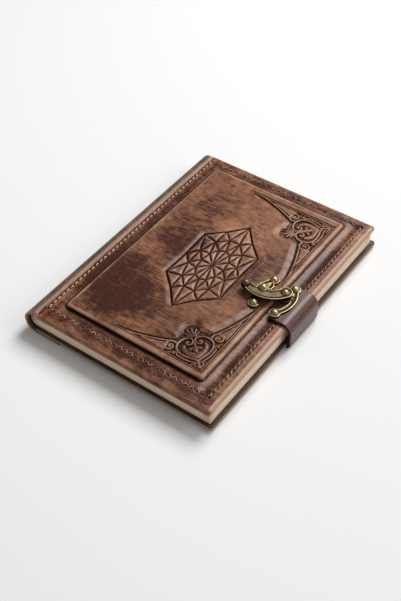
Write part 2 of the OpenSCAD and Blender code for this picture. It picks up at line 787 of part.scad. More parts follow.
module arm_outline() {
    difference() {
        union() {
            intersection() {
                difference() {
                    translate([crescent_x, crescent_y]) circle(r = crescent_r, $fn = 96);
                    translate([hollow_x, hollow_y]) circle(r = hollow_r, $fn = 96);
                }
                translate([ball_x, arm_low_y]) square([pivot_x + arm_end_in - ball_x, pivot_y - arm_low_y]);
            }
            translate([pivot_x, pivot_y]) circle(r = eye_r, $fn = round_fn);
            translate([post_x, post_y]) circle(r = hook_ring_r, $fn = round_fn);
            // The leaf beside the hook
            translate([pivot_x + arm_leaf_at[0], pivot_y + arm_leaf_at[1]]) rotate(118) leaf(arm_leaf);
        }
        hook_slot();
        translate([pivot_x, pivot_y]) circle(r = pivot_r + pivot_clear, $fn = round_fn);
    }
}

module clasp_arm() color("#9a8650") placed() {
    translate([0, 0, arm_z]) linear_extrude(arm_t) arm_outline();
    translate([ball_x, ball_y, arm_z + arm_t / 2]) sphere(r = ball_r, $fn = round_fn);
}

back_leather();
back_board();
back_lining();
back_stitches();
text_block();
spine_leather();
spine_liner();
back_flap();
strap_tail();
strap_tail_stitches();
front_leather();
front_board();
panel_board();
front_lining();
hinge_flap();
front_stitches();
catch_plate();
catch_rivets();
catch_post();
catch_washers();
strap();
strap_plate();
strap_rivets();
strap_washers();
arm_pin();
clasp_arm();
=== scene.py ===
"""Leather notebook: the looks of every piece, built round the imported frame.

Lengths in the classes are millimetres about the covers' middle: seat() sets a finished piece over
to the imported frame, whose middle also counts the strap and the spine. Meshes are written in
metres. X runs from the spine to the fore edge, Y from tail to head and Z up.
"""

import logging
import math
from dataclasses import dataclass, field
from enum import Enum
from typing import Callable, Iterable, Sequence

import bmesh
import bpy
import numpy as np
from mathutils import Matrix, Vector
from mathutils.kdtree import KDTree


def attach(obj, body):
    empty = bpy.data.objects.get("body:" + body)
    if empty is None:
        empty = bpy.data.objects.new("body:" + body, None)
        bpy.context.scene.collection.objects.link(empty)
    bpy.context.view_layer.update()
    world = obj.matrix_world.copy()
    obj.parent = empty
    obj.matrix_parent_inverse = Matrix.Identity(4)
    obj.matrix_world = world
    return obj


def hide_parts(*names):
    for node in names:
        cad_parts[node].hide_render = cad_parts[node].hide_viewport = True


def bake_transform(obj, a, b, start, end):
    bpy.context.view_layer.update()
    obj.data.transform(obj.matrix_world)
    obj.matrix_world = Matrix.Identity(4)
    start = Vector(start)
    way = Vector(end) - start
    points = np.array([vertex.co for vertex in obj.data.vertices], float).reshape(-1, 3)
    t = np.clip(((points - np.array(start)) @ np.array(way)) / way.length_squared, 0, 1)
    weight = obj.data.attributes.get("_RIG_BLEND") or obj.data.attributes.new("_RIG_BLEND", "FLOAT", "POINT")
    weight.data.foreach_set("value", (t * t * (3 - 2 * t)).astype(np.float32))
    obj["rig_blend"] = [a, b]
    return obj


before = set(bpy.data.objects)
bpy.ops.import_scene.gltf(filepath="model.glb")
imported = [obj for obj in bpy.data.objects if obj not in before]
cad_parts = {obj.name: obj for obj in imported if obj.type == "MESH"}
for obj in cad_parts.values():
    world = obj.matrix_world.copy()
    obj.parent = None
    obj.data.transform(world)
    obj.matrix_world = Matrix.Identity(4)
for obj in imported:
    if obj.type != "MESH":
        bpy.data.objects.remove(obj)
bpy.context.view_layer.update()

log = logging.getLogger("notebook")
MM = 0.001
Array = np.ndarray
MIDDLE_X = -1.75


# Small helpers


def srgb(red: int, green: int, blue: int) -> tuple[float, float, float, float]:
    """Turns a display colour of 0 to 255 into the linear colour that shaders take."""
    def linear(value: int) -> float:
        share = value / 255
        return share / 12.92 if share <= 0.04045 else ((share + 0.055) / 1.055) ** 2.4
    return linear(red), linear(green), linear(blue), 1.0


def smooth_step(value: Array, low: float, high: float) -> Array:
    """Rises smoothly from 0 at low to 1 at high."""
    t = np.clip((value - low) / (high - low), 0.0, 1.0)
    return t * t * (3 - 2 * t)


def box_blur(values: Array, reach: int) -> Array:
    """Blurs a 2-D array three times with a square window, which is close to a Gauss blur.

    Args:
        values: the array.
        reach: how many cells the window reaches to each side.

    Returns:
        An array of the same shape.
    """
    out = values
    for _ in range(3):
        for axis in (0, 1):
            pad = [(0, 0), (0, 0)]
            pad[axis] = (reach + 1, reach)
            total = np.cumsum(np.pad(out, pad, mode="edge"), axis=axis)
            high = np.take(total, range(2 * reach + 1, total.shape[axis]), axis=axis)
            low = np.take(total, range(0, total.shape[axis] - 2 * reach - 1), axis=axis)
            out = (high - low) / (2 * reach + 1)
    return out


def ripple(x: Array, y: Array, length: float, seed: float) -> Array:
    """A soft uneven wave of about plus or minus 1 over a plane.

    Args:
        x: places along X.
        y: places along Y.
        length: the wave length.
        seed: shifts the pattern.
    """
    k = 2 * math.pi / length
    return (np.sin(k * x * 0.9 + seed + 1.7 * np.sin(k * y * 0.37 + seed))
            * np.sin(k * y * 0.8 + 2.1 * seed + 1.3 * np.sin(k * x * 0.41)))


def new_mesh(name: str, points: Array, faces: Sequence[Sequence[int]] | Array) -> bpy.types.Object:
    """Makes a mesh object at the origin from points in millimetres.

    Args:
        name: the object's name.
        points: an N by 3 array.
        faces: rows of point numbers.

    Returns:
        The linked object.
    """
    mesh = bpy.data.meshes.new(name)
    if isinstance(faces, np.ndarray):
        mesh.vertices.add(len(points))
        mesh.vertices.foreach_set("co", (np.asarray(points, np.float32) * MM).ravel())
        mesh.loops.add(faces.size)
        mesh.loops.foreach_set("vertex_index", faces.astype(np.int32).ravel())
        mesh.polygons.add(len(faces))
        mesh.polygons.foreach_set("loop_start", np.arange(0, faces.size, faces.shape[1], dtype=np.int32))
        mesh.update(calc_edges=True)
    else:
        mesh.from_pydata([tuple(p) for p in np.asarray(points) * MM], [], [tuple(f) for f in faces])
    mesh.validate()
    obj = bpy.data.objects.new(name, mesh)
    bpy.context.scene.collection.objects.link(obj)
    return obj


def tidy_normals(obj: bpy.types.Object, merge: float = 0.0) -> None:
    """Merges doubles closer than merge metres and turns every face outwards."""
    bm = bmesh.new()
    bm.from_mesh(obj.data)
    if merge:
        bmesh.ops.remove_doubles(bm, verts=bm.verts, dist=merge)
    bmesh.ops.recalc_face_normals(bm, faces=bm.faces)
    bm.to_mesh(obj.data)
    bm.free()


def all_smooth(obj: bpy.types.Object) -> None:
    """Shades every face of an object smooth."""
    obj.data.polygons.foreach_set("use_smooth", [True] * len(obj.data.polygons))


def smooth_shading(obj: bpy.types.Object, angle: float = 40.0) -> None:
    """Shades an object smooth, with edges sharper than the angle in degrees kept sharp."""
    all_smooth(obj)
    bm = bmesh.new()
    bm.from_mesh(obj.data)
    limit = math.radians(angle)
    for edge in bm.edges:
        edge.smooth = len(edge.link_faces) == 2 and edge.calc_face_angle(0.0) < limit
    bm.to_mesh(obj.data)
    bm.free()


def settle(obj: bpy.types.Object) -> bpy.types.Object:
    """Turns the modifiers' result into the object's own plain mesh."""
    bpy.context.view_layer.update()
    graph = bpy.context.evaluated_depsgraph_get()
    mesh = bpy.data.meshes.new_from_object(obj.evaluated_get(graph))
    obj.modifiers.clear()
    old = obj.data
    obj.data = mesh
    mesh.name = obj.name
    bpy.data.meshes.remove(old)
    return obj


def set_attribute(obj: bpy.types.Object, name: str, values: Array) -> None:
    """Stores one number per point on a mesh, for its material to read."""
    layer = obj.data.attributes.get(name) or obj.data.attributes.new(name, "FLOAT", "POINT")
    layer.data.foreach_set("value", np.asarray(values, np.float32))


def read_points(obj: bpy.types.Object, what: str) -> Array:
    """Reads a value of three numbers, such as co or normal, from every point of a mesh."""
    flat = np.zeros(len(obj.data.vertices) * 3, np.float32)
    obj.data.vertices.foreach_get(what, flat)
    return flat.reshape(-1, 3)


def points_of(obj: bpy.types.Object) -> Array:
    """The points of a mesh, in millimetres."""
    return read_points(obj, "co").astype(float) / MM


def move_points(obj: bpy.types.Object, points: Array) -> None:
    """Puts the points of a mesh at new places, in millimetres."""
    obj.data.vertices.foreach_set("co", (points * MM).astype(np.float32).ravel())


def sleeve_faces(rings: int, count: int) -> list[tuple[int, ...]]:
    """The four-sided faces between neighbouring rings of a closed sleeve.

    Args:
        rings: how many rings there are.
        count: how many points each ring has.
    """
    faces = []
    for k in range(rings - 1):
        for i in range(count):
            j = (i + 1) % count
            faces.append((k * count + i, k * count + j, (k + 1) * count + j, (k + 1) * count + i))
    return faces


def band_faces(rings: int, count: int) -> list[tuple[int, ...]]:
    """A sleeve's faces and those that close its ends, where each ring is two facing lines.

    Args:
        rings: how many rings there are.
        count: how many points each ring has.
    """
    faces = sleeve_faces(rings, count)
    last = (rings - 1) * count
    for i in range(count // 2 - 1):
        a, b, c, d = i, i + 1, count - 2 - i, count - 1 - i
        faces += [(a, b, c, d), (last + a, last + d, last + c, last + b)]
    return faces


def triangle_count(obj: bpy.types.Object) -> int:
    """How many triangles a mesh object has."""
    return sum(len(p.vertices) - 2 for p in obj.data.polygons)


def seat(obj: bpy.types.Object, share: float = -1.0) -> bpy.types.Object:
    """Moves a mesh from the covers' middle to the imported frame, or back where share is 1."""
    obj.data.transform(Matrix.Translation((share * MIDDLE_X * MM, 0, 0)))
    return obj


def across_joint(obj: bpy.types.Object, first: "Body", second: "Body", start: tuple[float, float],
                 end: tuple[float, float]) -> None:
    """Lets a piece bend between two bodies.

    Args:
        obj: the piece, drawn about the covers' middle; it is seated here.
        first: the body that carries its start.
        second: the body that carries its end.
        start: X and Z where the bend starts.
        end: X and Z where it ends.
    """
    seat(obj)
    ends = [((x - MIDDLE_X) * MM, 0, z * MM) for x, z in (start, end)]
    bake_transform(obj, first.value, second.value, start=ends[0], end=ends[1])


def dress(obj: bpy.types.Object, material: bpy.types.Material) -> None:
    """Gives an object one material in all its slots."""
    if not obj.data.materials:
        obj.data.materials.append(material)
    for index in range(len(obj.material_slots)):
        obj.material_slots[index].material = material


def place(obj: bpy.types.Object, body: "Body", slot: "Slot", nodes: Sequence[str] = ()) -> None:
    """Lets a piece ride on a body and names the nodes that it stands for.

    Args:
        obj: the finished piece.
        body: the body that carries it.
        slot: the record's material slot; not used.
        nodes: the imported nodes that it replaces.
    """
    seat(obj)
    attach(obj, body.value)
    declare(obj, nodes)


def declare(obj: bpy.types.Object, nodes: Sequence[str]) -> None:
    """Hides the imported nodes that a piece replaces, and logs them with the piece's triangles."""
    if nodes:
        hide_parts(*nodes)
    log.info("%s: %d triangles, for %s", obj.name, triangle_count(obj), ", ".join(nodes) or "no node")


class Body(Enum):
    """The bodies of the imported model."""

    PAGES = "pages"
    FRONT = "front_cover"
    BACK = "back_cover"
    STRAP = "strap_band"
    ARM = "swing_arm"


class Slot(Enum):
    """The record's material slots."""

    COVER = "cover_leather"
    SPINE = "spine_leather"
    STRAP = "strap_leather"
    LINING = "lining"
    BOARD = "board"
    PAGES = "pages"
    THREAD = "thread"
    AGED = "aged_brass"
    POLISHED = "polished_brass"


# Shader building


class Tree:
    """A node tree with short calls for the nodes that the finishes use."""

    def __init__(self, tree: bpy.types.NodeTree) -> None:
        """Takes the tree and starts at its left edge."""
        self.tree = tree
        self.column = 0

    def node(self, kind: str, inputs: dict | None = None, **settings: object) -> bpy.types.Node:
        """Adds a node.

        Args:
            kind: the node's type name.
            inputs: socket name or number to a value, or to an output socket to link from.
            settings: properties of the node.

        Returns:
            The node.
        """
        made = self.tree.nodes.new(kind)
        made.location = (self.column * 180, -(self.column % 5) * 160)
        self.column += 1
        for key, value in settings.items():
            setattr(made, key, value)
        self.feed(made, inputs or {})
        return made

    def feed(self, node: bpy.types.Node, inputs: dict) -> None:
        """Sets a node's inputs, each to a value or to an output socket to link from."""
        for key, value in inputs.items():
            if isinstance(value, bpy.types.NodeSocket):
                self.tree.links.new(value, node.inputs[key])
            else:
                node.inputs[key].default_value = value

    def effect(self, group: bpy.types.NodeTree, inputs: dict) -> bpy.types.Node:
        """Places a shared node group with its own values."""
        return self.node("ShaderNodeGroup", inputs, node_tree=group)

    def bump(self, strength: float, distance: float, height: bpy.types.NodeSocket) -> bpy.types.NodeSocket:
        """A Bump node's normal."""
        return self.node("ShaderNodeBump",
                         {"Strength": strength, "Distance": distance, "Height": height}).outputs[0]

    def math(self, operation: str, *values: object, clamp: bool = False) -> bpy.types.NodeSocket:
        """A Math node's output, from numbers or sockets."""
        return self.node("ShaderNodeMath", dict(enumerate(values)), operation=operation,
                         use_clamp=clamp).outputs[0]

    def mix(self, factor: object, first: object, second: object, blend: str = "MIX") -> bpy.types.NodeSocket:
        """A colour Mix node's output."""
        return self.node("ShaderNodeMix", {0: factor, 6: first, 7: second},
                         data_type="RGBA", blend_type=blend).outputs[2]

    def band(self, value: object, low: float, high: float, to_low: float = 0.0,
             to_high: float = 1.0) -> bpy.types.NodeSocket:
        """A value mapped smoothly from one range to another."""
        return self.node("ShaderNodeMapRange", {0: value, 1: low, 2: high, 3: to_low, 4: to_high},
                         interpolation_type="SMOOTHSTEP").outputs[0]

    def noise(self, vector: object, scale: object, detail: float = 4.0, rough: float = 0.55,
              distortion: float = 0.0) -> bpy.types.NodeSocket:
        """A Noise texture's value."""
        return self.node("ShaderNodeTexNoise", {"Vector": vector, "Scale": scale, "Detail": detail,
                                                "Roughness": rough, "Distortion": distortion}).outputs[0]

    def stretch(self, vector: object, scale: tuple[float, float, float],
                turn: float = 0.0) -> bpy.types.NodeSocket:
        """Coordinates scaled and turned about Z, in degrees."""
        return self.node("ShaderNodeMapping", {"Vector": vector, "Scale": scale,
                                               "Rotation": (0.0, 0.0, math.radians(turn))}).outputs[0]


def new_group(name: str, inputs: dict[str, tuple[str, object]],
              outputs: dict[str, str]) -> tuple[Tree, bpy.types.Node, bpy.types.Node]:
    """Makes a shader node group with named sockets.

    Args:
        name: the group's name.
        inputs: socket name to its type and its default, or None.
        outputs: socket name to its type.

    Returns:
        The group's tree, its input node and its output node.
    """
    group = bpy.data.node_groups.new(name, "ShaderNodeTree")
    for label, (kind, default) in inputs.items():
        socket = group.interface.new_socket(label, in_out="INPUT", socket_type=kind)
        if default is not None:
            socket.default_value = default
    for label, kind in outputs.items():
        group.interface.new_socket(label, in_out="OUTPUT", socket_type=kind)
    tree = Tree(group)
    return tree, tree.node("NodeGroupInput"), tree.node("NodeGroupOutput")


FLOAT = "NodeSocketFloat"
VECTOR = "NodeSocketVector"


def grain_group() -> bpy.types.NodeTree:
    """Leather grain: small pebbles, pores and fine creases as one height and a pore mask."""
    tree, entry, end = new_group(
        "leather_grain", {"Vector": (VECTOR, None), "Scale": (FLOAT, 1.0), "Pebble": (FLOAT, 1.0)},
        {"Height": FLOAT, "Pores": FLOAT})
    vector = entry.outputs["Vector"]
    size = tree.math("MULTIPLY", entry.outputs["Scale"], 900.0)
    warp = tree.node("ShaderNodeTexNoise", {"Vector": vector, "Scale": 260.0, "Detail": 2.0}).outputs[1]
    bent = tree.node("ShaderNodeVectorMath", {0: warp, 1: (0.0012, 0.0012, 0.0012)}, operation="MULTIPLY")
    moved = tree.node("ShaderNodeVectorMath", {0: vector, 1: bent.outputs[0]}, operation="ADD").outputs[0]
    pebble = tree.node("ShaderNodeTexVoronoi", {"Vector": moved, "Scale": size},
                       feature="DISTANCE_TO_EDGE").outputs["Distance"]
    crease = tree.band(pebble, 0.0, 0.22)
    fine = tree.noise(vector, tree.math("MULTIPLY", size, 2.3), 3.0, 0.6)
    broad = tree.noise(vector, tree.math("MULTIPLY", size, 0.16), 4.0, 0.5)
    pebbles = tree.math("MULTIPLY", crease, entry.outputs["Pebble"])
    height = tree.math("ADD", tree.math("MULTIPLY", pebbles, 0.55), tree.math("MULTIPLY", fine, 0.35))
    height = tree.math("ADD", height, tree.math("MULTIPLY", broad, 0.5))
    tree.feed(end, {"Height": height, "Pores": tree.math("SUBTRACT", 1.0, crease)})
    return tree.tree


def mottle_group() -> bpy.types.NodeTree:
    """Hand-rubbed dye: cloudy patches, and rubbed streaks in two directions."""
    tree, entry, end = new_group(
        "rubbed_dye", {"Vector": (VECTOR, None), "Patch size": (FLOAT, 1.0)},
        {"Patches": FLOAT, "Streaks": FLOAT, "Specks": FLOAT})
    vector = entry.outputs["Vector"]
    near = tree.math("DIVIDE", 42.0, entry.outputs["Patch size"])
    clouds = tree.noise(vector, near, 7.0, 0.66, 0.5)
    fine = tree.noise(vector, tree.math("MULTIPLY", near, 4.5), 4.0, 0.6)
    patches = tree.math("ADD", tree.math("MULTIPLY", clouds, 0.6), tree.math("MULTIPLY", fine, 0.4))
    along = tree.noise(tree.stretch(vector, (95.0, 900.0, 100.0), 28.0), 1.0, 4.0, 0.62, 0.5)
    across = tree.noise(tree.stretch(vector, (110.0, 800.0, 100.0), -52.0), 1.0, 4.0, 0.62, 0.5)
    streaks = tree.math("MULTIPLY", tree.math("ADD", along, across), 0.5)
    specks = tree.noise(vector, 1500.0, 2.0, 0.7)
    tree.feed(end, {"Patches": tree.band(patches, 0.37, 0.64), "Streaks": tree.band(streaks, 0.39, 0.61),
                    "Specks": specks})
    return tree.tree


def wear_and_painted_light_group() -> bpy.types.NodeTree:
    """Dark and bright masks from the stored cavity and ridge marks, broken up so that no line is even: dark for
    dye, patina and painted shade in hollows, bright for rubbing and painted highlight.
    """
    tree, entry, end = new_group(
        "wear_and_painted_light_masks", {"Vector": (VECTOR, None), "Break up": (FLOAT, 0.5)},
        {"Dark": FLOAT, "Bright": FLOAT})
    cavity = tree.node("ShaderNodeAttribute", attribute_name="cavity").outputs["Fac"]
    ridge = tree.node("ShaderNodeAttribute", attribute_name="ridge").outputs["Fac"]
    uneven = tree.noise(entry.outputs["Vector"], 240.0, 4.0, 0.65)
    share = tree.math("MULTIPLY", tree.math("SUBTRACT", uneven, 0.5), entry.outputs["Break up"])
    dark = tree.band(tree.math("ADD", cavity, share), 0.08, 0.8)
    bright = tree.band(tree.math("ADD", ridge, share), 0.12, 0.85)
    tree.feed(end, {"Dark": tree.math("MULTIPLY", dark, tree.band(cavity, 0.0, 0.12)),
                    "Bright": tree.math("MULTIPLY", bright, tree.band(ridge, 0.0, 0.15))})
    return tree.tree


@dataclass(frozen=True)
class Effects:
    """The node groups that more than one finish uses."""

    grain: bpy.types.NodeTree
    mottle: bpy.types.NodeTree
    wear_and_painted_light: bpy.types.NodeTree

    @staticmethod
    def build() -> "Effects":
        """Builds each group once."""
        return Effects(grain_group(), mottle_group(), wear_and_painted_light_group())


def start_material(name: str) -> tuple[bpy.types.Material, Tree, bpy.types.Node, bpy.types.NodeSocket]:
    """Makes an empty material.

    Returns:
        The material, its tree, its Principled shader and its Object coordinates.
    """
    material = bpy.data.materials.new(name)
    material.use_nodes = True
    material.node_tree.nodes.clear()
    tree = Tree(material.node_tree)
    shader = tree.node("ShaderNodeBsdfPrincipled")
    tree.node("ShaderNodeOutputMaterial", {"Surface": shader.outputs[0]})
    vector = tree.node("ShaderNodeTexCoord").outputs["Object"]
    return material, tree, shader, vector


@dataclass(frozen=True)
class DarkArea:
    """A soft dark cloud of dye on the front cover: middle, reach and strength."""

    x: float
    y: float
    reach_x: float
    reach_y: float
    strength: float


@dataclass(frozen=True)
class LeatherFinish:
    """Dyed, rubbed and waxed leather; its stored marks also lay painted shade and painted highlight on it."""

    name: str
    deep: tuple[float, float, float, float]
    body: tuple[float, float, float, float]
    worn_and_highlight: tuple[float, float, float, float]
    groove: tuple[float, float, float, float]
    patch_size: float = 1.0
    patch_share: float = 0.8
    streak_share: float = 0.25
    grain_scale: float = 1.0
    pebble: float = 1.0
    bump: float = 0.35
    smooth: float = 0.38
    rough: float = 0.62
    specular: float = 0.25
    coat: float = 0.15
    coat_rough: float = 0.27
    pore_share: float = 0.35
    clouds: tuple[DarkArea, ...] = ()

    def build(self, effects: Effects) -> bpy.types.Material:
        """Builds the material from the shared effects."""
        material, tree, shader, vector = start_material(self.name)
        mottle = tree.effect(effects.mottle, {"Vector": vector, "Patch size": self.patch_size})
        wear_and_painted_light = tree.effect(effects.wear_and_painted_light, {"Vector": vector})
        grain = tree.effect(effects.grain, {"Vector": vector, "Scale": self.grain_scale, "Pebble": self.pebble})
        tone = tree.math("MULTIPLY", mottle.outputs["Patches"], self.patch_share)
        rubbed = tree.math("MULTIPLY", mottle.outputs["Streaks"], self.streak_share)
        tone = tree.math("ADD", tone, rubbed)
        for cloud in self.clouds:
            tone = tree.math("SUBTRACT", tone, self.cloud_mask(tree, vector, cloud))
        tone = tree.math("ADD", tone, 0.0, clamp=True)
        colour = tree.mix(tone, self.deep, self.body)
        specks = tree.band(mottle.outputs["Specks"], 0.45, 0.8, 0.0, 0.22)
        colour = tree.mix(specks, colour, self.worn_and_highlight)
        # Light colour over the ridge mask: rubbed places, and on the front cover's fore edge a painted
        # highlight.
        colour = tree.mix(wear_and_painted_light.outputs["Bright"], colour, self.worn_and_highlight)
        pores = tree.math("MULTIPLY", grain.outputs["Pores"], self.pore_share)
        colour = tree.mix(pores, colour, self.deep)
        # Groove colour over the dark mask: dye sunk into hollows, with painted shade in the hollows, along the
        # panel's tail foot and on the turned-in strips.
        colour = tree.mix(wear_and_painted_light.outputs["Dark"], colour, self.groove)
        gloss = tree.band(tone, 0.0, 1.0, self.smooth, self.rough)
        gloss = tree.math("ADD", gloss, tree.math("MULTIPLY", grain.outputs["Pores"], 0.15), clamp=True)
        waxed = tree.math("MULTIPLY", tree.math("SUBTRACT", 1.0, wear_and_painted_light.outputs["Dark"]), self.coat)
        tree.feed(shader, {"Base Color": colour, "Roughness": gloss, "Coat Weight": waxed,
                           "Coat Roughness": self.coat_rough, "Specular IOR Level": self.specular,
                           "Normal": tree.bump(self.bump, 0.0002, grain.outputs["Height"])})
        return material

    @staticmethod
    def cloud_mask(tree: Tree, vector: bpy.types.NodeSocket, cloud: DarkArea) -> bpy.types.NodeSocket:
        """How strongly a dark cloud covers a point, from its distance to the cloud's middle."""
        parts = tree.node("ShaderNodeSeparateXYZ", {0: vector}).outputs
        middle = (cloud.x - MIDDLE_X) * MM
        across = tree.math("DIVIDE", tree.math("SUBTRACT", parts[0], middle), cloud.reach_x * MM)
        along = tree.math("DIVIDE", tree.math("SUBTRACT", parts[1], cloud.y * MM), cloud.reach_y * MM)
        far = tree.math("ADD", tree.math("POWER", across, 2.0), tree.math("POWER", along, 2.0))
        uneven = tree.noise(vector, 55.0, 4.0, 0.6)
        far = tree.math("ADD", far, tree.math("MULTIPLY", tree.math("SUBTRACT", uneven, 0.5), 1.2))
        return tree.band(far, 0.1, 1.3, cloud.strength, 0.0)


@dataclass(frozen=True)
class BrassFinish:
    """Cast brass with a dark patina in its hollows, painted shade on the upright sides of rimmed pieces, and
    rubbed high places.
    """

    name: str
    patina: tuple[float, float, float, float]
    metal: tuple[float, float, float, float]
    bright: tuple[float, float, float, float]
    rubbed: float
    smooth: float = 0.24
    rough: float = 0.5

    def build(self, effects: Effects) -> bpy.types.Material:
        """Builds the material from the shared effects."""
        material, tree, shader, vector = start_material(self.name)
        wear_and_painted_light = tree.effect(effects.wear_and_painted_light, {"Vector": vector, "Break up": 0.35})
        spots = tree.band(tree.noise(vector, 260.0, 4.0, 0.6), 0.3, 0.6, 0.55, 1.0)
        base = tree.math("MULTIPLY", spots, self.rubbed)
        colour = tree.mix(base, self.patina, self.metal)
        colour = tree.mix(wear_and_painted_light.outputs["Bright"], colour, self.bright)
        # Patina colour over the dark mask: patina in hollows, and painted shade on upright sides.
        colour = tree.mix(wear_and_painted_light.outputs["Dark"], colour, self.patina)
        gloss = tree.band(base, 0.0, 1.0, self.rough, self.smooth)
        height = tree.noise(vector, 2600.0, 3.0, 0.6)
        tree.feed(shader, {"Base Color": colour, "Metallic": 1.0, "Roughness": gloss,
                           "Normal": tree.bump(0.18, 0.0001, height)})
        return material


@dataclass(frozen=True)
class PaperFinish:
    """The edges and faces of uncoated cream paper, a block of many leaves."""

    name: str
    light: tuple[float, float, float, float]
    shade: tuple[float, float, float, float]
    leaves_per_mm: float = 3.4

    def build(self, effects: Effects) -> bpy.types.Material:
        """Builds the material; the lines lie across Z, as leaves do."""
        material, tree, shader, vector = start_material(self.name)
        layers = tree.stretch(vector, (6.0, 6.0, 1000.0 * self.leaves_per_mm))
        lines = tree.noise(layers, 1.0, 2.0, 0.6)
        broad = tree.noise(tree.stretch(vector, (10.0, 10.0, 700.0)), 1.0, 3.0, 0.5)
        tone = tree.math("ADD", tree.math("MULTIPLY", lines, 0.6), tree.math("MULTIPLY", broad, 0.4))
        colour = tree.mix(tree.band(tone, 0.36, 0.6), self.shade, self.light)
        tree.feed(shader, {"Base Color": colour, "Roughness": 0.85, "Specular IOR Level": 0.2,
                           "Normal": tree.bump(0.5, 0.0002, tone)})
        return material


@dataclass(frozen=True)
class ThreadFinish:
    """Twisted waxed thread, darker on some rows than on others."""

    name: str
    light: tuple[float, float, float, float]
    dark: tuple[float, float, float, float]

    def build(self, effects: Effects) -> bpy.types.Material:
        """Builds the material; the attribute row_tone says how dark each stitch's thread is."""
        material, tree, shader, vector = start_material(self.name)
        tone = tree.node("ShaderNodeAttribute", attribute_name="row_tone").outputs["Fac"]
        uneven = tree.noise(vector, 420.0, 3.0, 0.6)
        uneven = tree.math("MULTIPLY", tree.math("SUBTRACT", uneven, 0.5), 0.9)
        share = tree.math("ADD", tone, uneven, clamp=True)
        colour = tree.mix(share, self.light, self.dark)
        twist = tree.noise(tree.stretch(vector, (2600.0, 2600.0, 2600.0), 35.0), 1.0, 2.0, 0.5)
        colour = tree.mix(tree.band(twist, 0.3, 0.7, 0.0, 0.35), colour, self.dark)
        tree.feed(shader, {"Base Color": colour, "Roughness": 0.55,
                           "Normal": tree.bump(0.5, 0.0002, twist)})
        return material


@dataclass(frozen=True)
class BoardFinish:
    """Grey-brown bookbinder's board with short fibres."""

    name: str
    light: tuple[float, float, float, float]
    dark: tuple[float, float, float, float]

    def build(self, effects: Effects) -> bpy.types.Material:
        """Builds the material."""
        material, tree, shader, vector = start_material(self.name)
        fibres = tree.noise(tree.stretch(vector, (500.0, 2200.0, 900.0), 20.0), 1.0, 4.0, 0.6)
        colour = tree.mix(tree.band(fibres, 0.3, 0.7), self.dark, self.light)
        tree.feed(shader, {"Base Color": colour, "Roughness": 0.9,
                           "Normal": tree.bump(0.3, 0.0002, fibres)})
        return material


COVER_FINISH = LeatherFinish(
    "tooled_cover_leather", deep=srgb(60, 20, 8), body=srgb(172, 118, 86), worn_and_highlight=srgb(194, 152, 126),
    groove=srgb(36, 21, 15), patch_share=0.62, streak_share=0.5, smooth=0.32, rough=0.46,
    specular=0.06, coat=0.42, clouds=(
        DarkArea(-42, -52, 30, 36, 0.78), DarkArea(-30, 12, 26, 30, 0.45), DarkArea(-30, 58, 20, 18, 0.36),
        DarkArea(14, -62, 36, 16, 0.42), DarkArea(38, 10, 14, 30, 0.25), DarkArea(0, -98, 90, 7, 0.5),
        DarkArea(65.4, 0, 5.5, 110, 0.62), DarkArea(-65.5, 0, 3.4, 110, 0.6), DarkArea(10, 100, 70, 5, 0.4),
        DarkArea(6, 62, 46, 34, -0.2)))
BACK_FINISH = LeatherFinish(
    "plain_cover_leather", deep=srgb(56, 32, 22), body=srgb(112, 80, 62), worn_and_highlight=srgb(186, 152, 128),
    groove=srgb(28, 16, 12), patch_size=1.6)
SPINE_FINISH = LeatherFinish(
    "dark_spine_leather", deep=srgb(62, 42, 32), body=srgb(132, 100, 80), worn_and_highlight=srgb(160, 128, 104),
    groove=srgb(18, 12, 9), patch_size=0.9, bump=0.4, smooth=0.36, rough=0.5)
STRAP_FINISH = LeatherFinish(
    "smooth_strap_leather", deep=srgb(66, 30, 20), body=srgb(100, 56, 42), worn_and_highlight=srgb(140, 98, 80),
    groove=srgb(26, 14, 10), patch_size=1.3, patch_share=0.8, streak_share=0.15, grain_scale=1.5,
    pebble=0.5, bump=0.15, smooth=0.3, rough=0.38, specular=0.28, coat=0.4)
LINING_FINISH = LeatherFinish(
    "lining_leather", deep=srgb(24, 15, 11), body=srgb(54, 36, 27), worn_and_highlight=srgb(84, 62, 50),
    groove=srgb(16, 10, 8), patch_size=0.8, smooth=0.6, rough=0.78, coat=0.0)
PAPER_FINISH = PaperFinish("cream_page_edges", light=srgb(255, 238, 214), shade=srgb(243, 216, 188))
THREAD_FINISH = ThreadFinish("waxed_thread", light=srgb(240, 194, 154), dark=srgb(96, 58, 42))
BOARD_FINISH = BoardFinish("binders_board", light=srgb(176, 160, 134), dark=srgb(130, 114, 92))
AGED_FINISH = BrassFinish("aged_brass", patina=srgb(44, 37, 27), metal=srgb(120, 103, 76),
                          bright=srgb(186, 168, 130), rubbed=0.85, smooth=0.34, rough=0.56)
POLISHED_FINISH = BrassFinish("rubbed_brass", patina=srgb(76, 66, 48), metal=srgb(172, 152, 116),
                              bright=srgb(210, 192, 156), rubbed=1.0, smooth=0.34, rough=0.46)


# Shapes of the notebook


@dataclass(frozen=True)
class Layout:
    """Driving sizes of the notebook, in millimetres."""

    half_w: float = 76.0
    half_h: float = 108.0
    corner_r: float = 2.0
    back_reach: float = 2.0
    cover_t: float = 3.6
    leather_t: float = 1.3
    board_t: float = 1.9
    lining_t: float = 0.4
    turn_in: float = 4.0
    back_z: float = 0.9
    pages_z: float = 4.5
    pages_t: float = 11.1
    front_z: float = 15.9
    panel_rise: float = 2.4
    panel_roll: float = 2.2
    panel_x0: float = -61.0
    panel_x1: float = 57.5
    panel_y0: float = -89.5
    panel_y1: float = 94.5
    board_inset: float = 4.0
    stitch_x0: float = -70.0
    stitch_x1: float = 68.4
    stitch_y0: float = -97.0
    stitch_y1: float = 101.0
    pitch: float = 4.6

    @property
    def face_z(self) -> float:
        """Height of the front cover's margins."""
        return self.front_z + self.cover_t


LAYOUT = Layout()


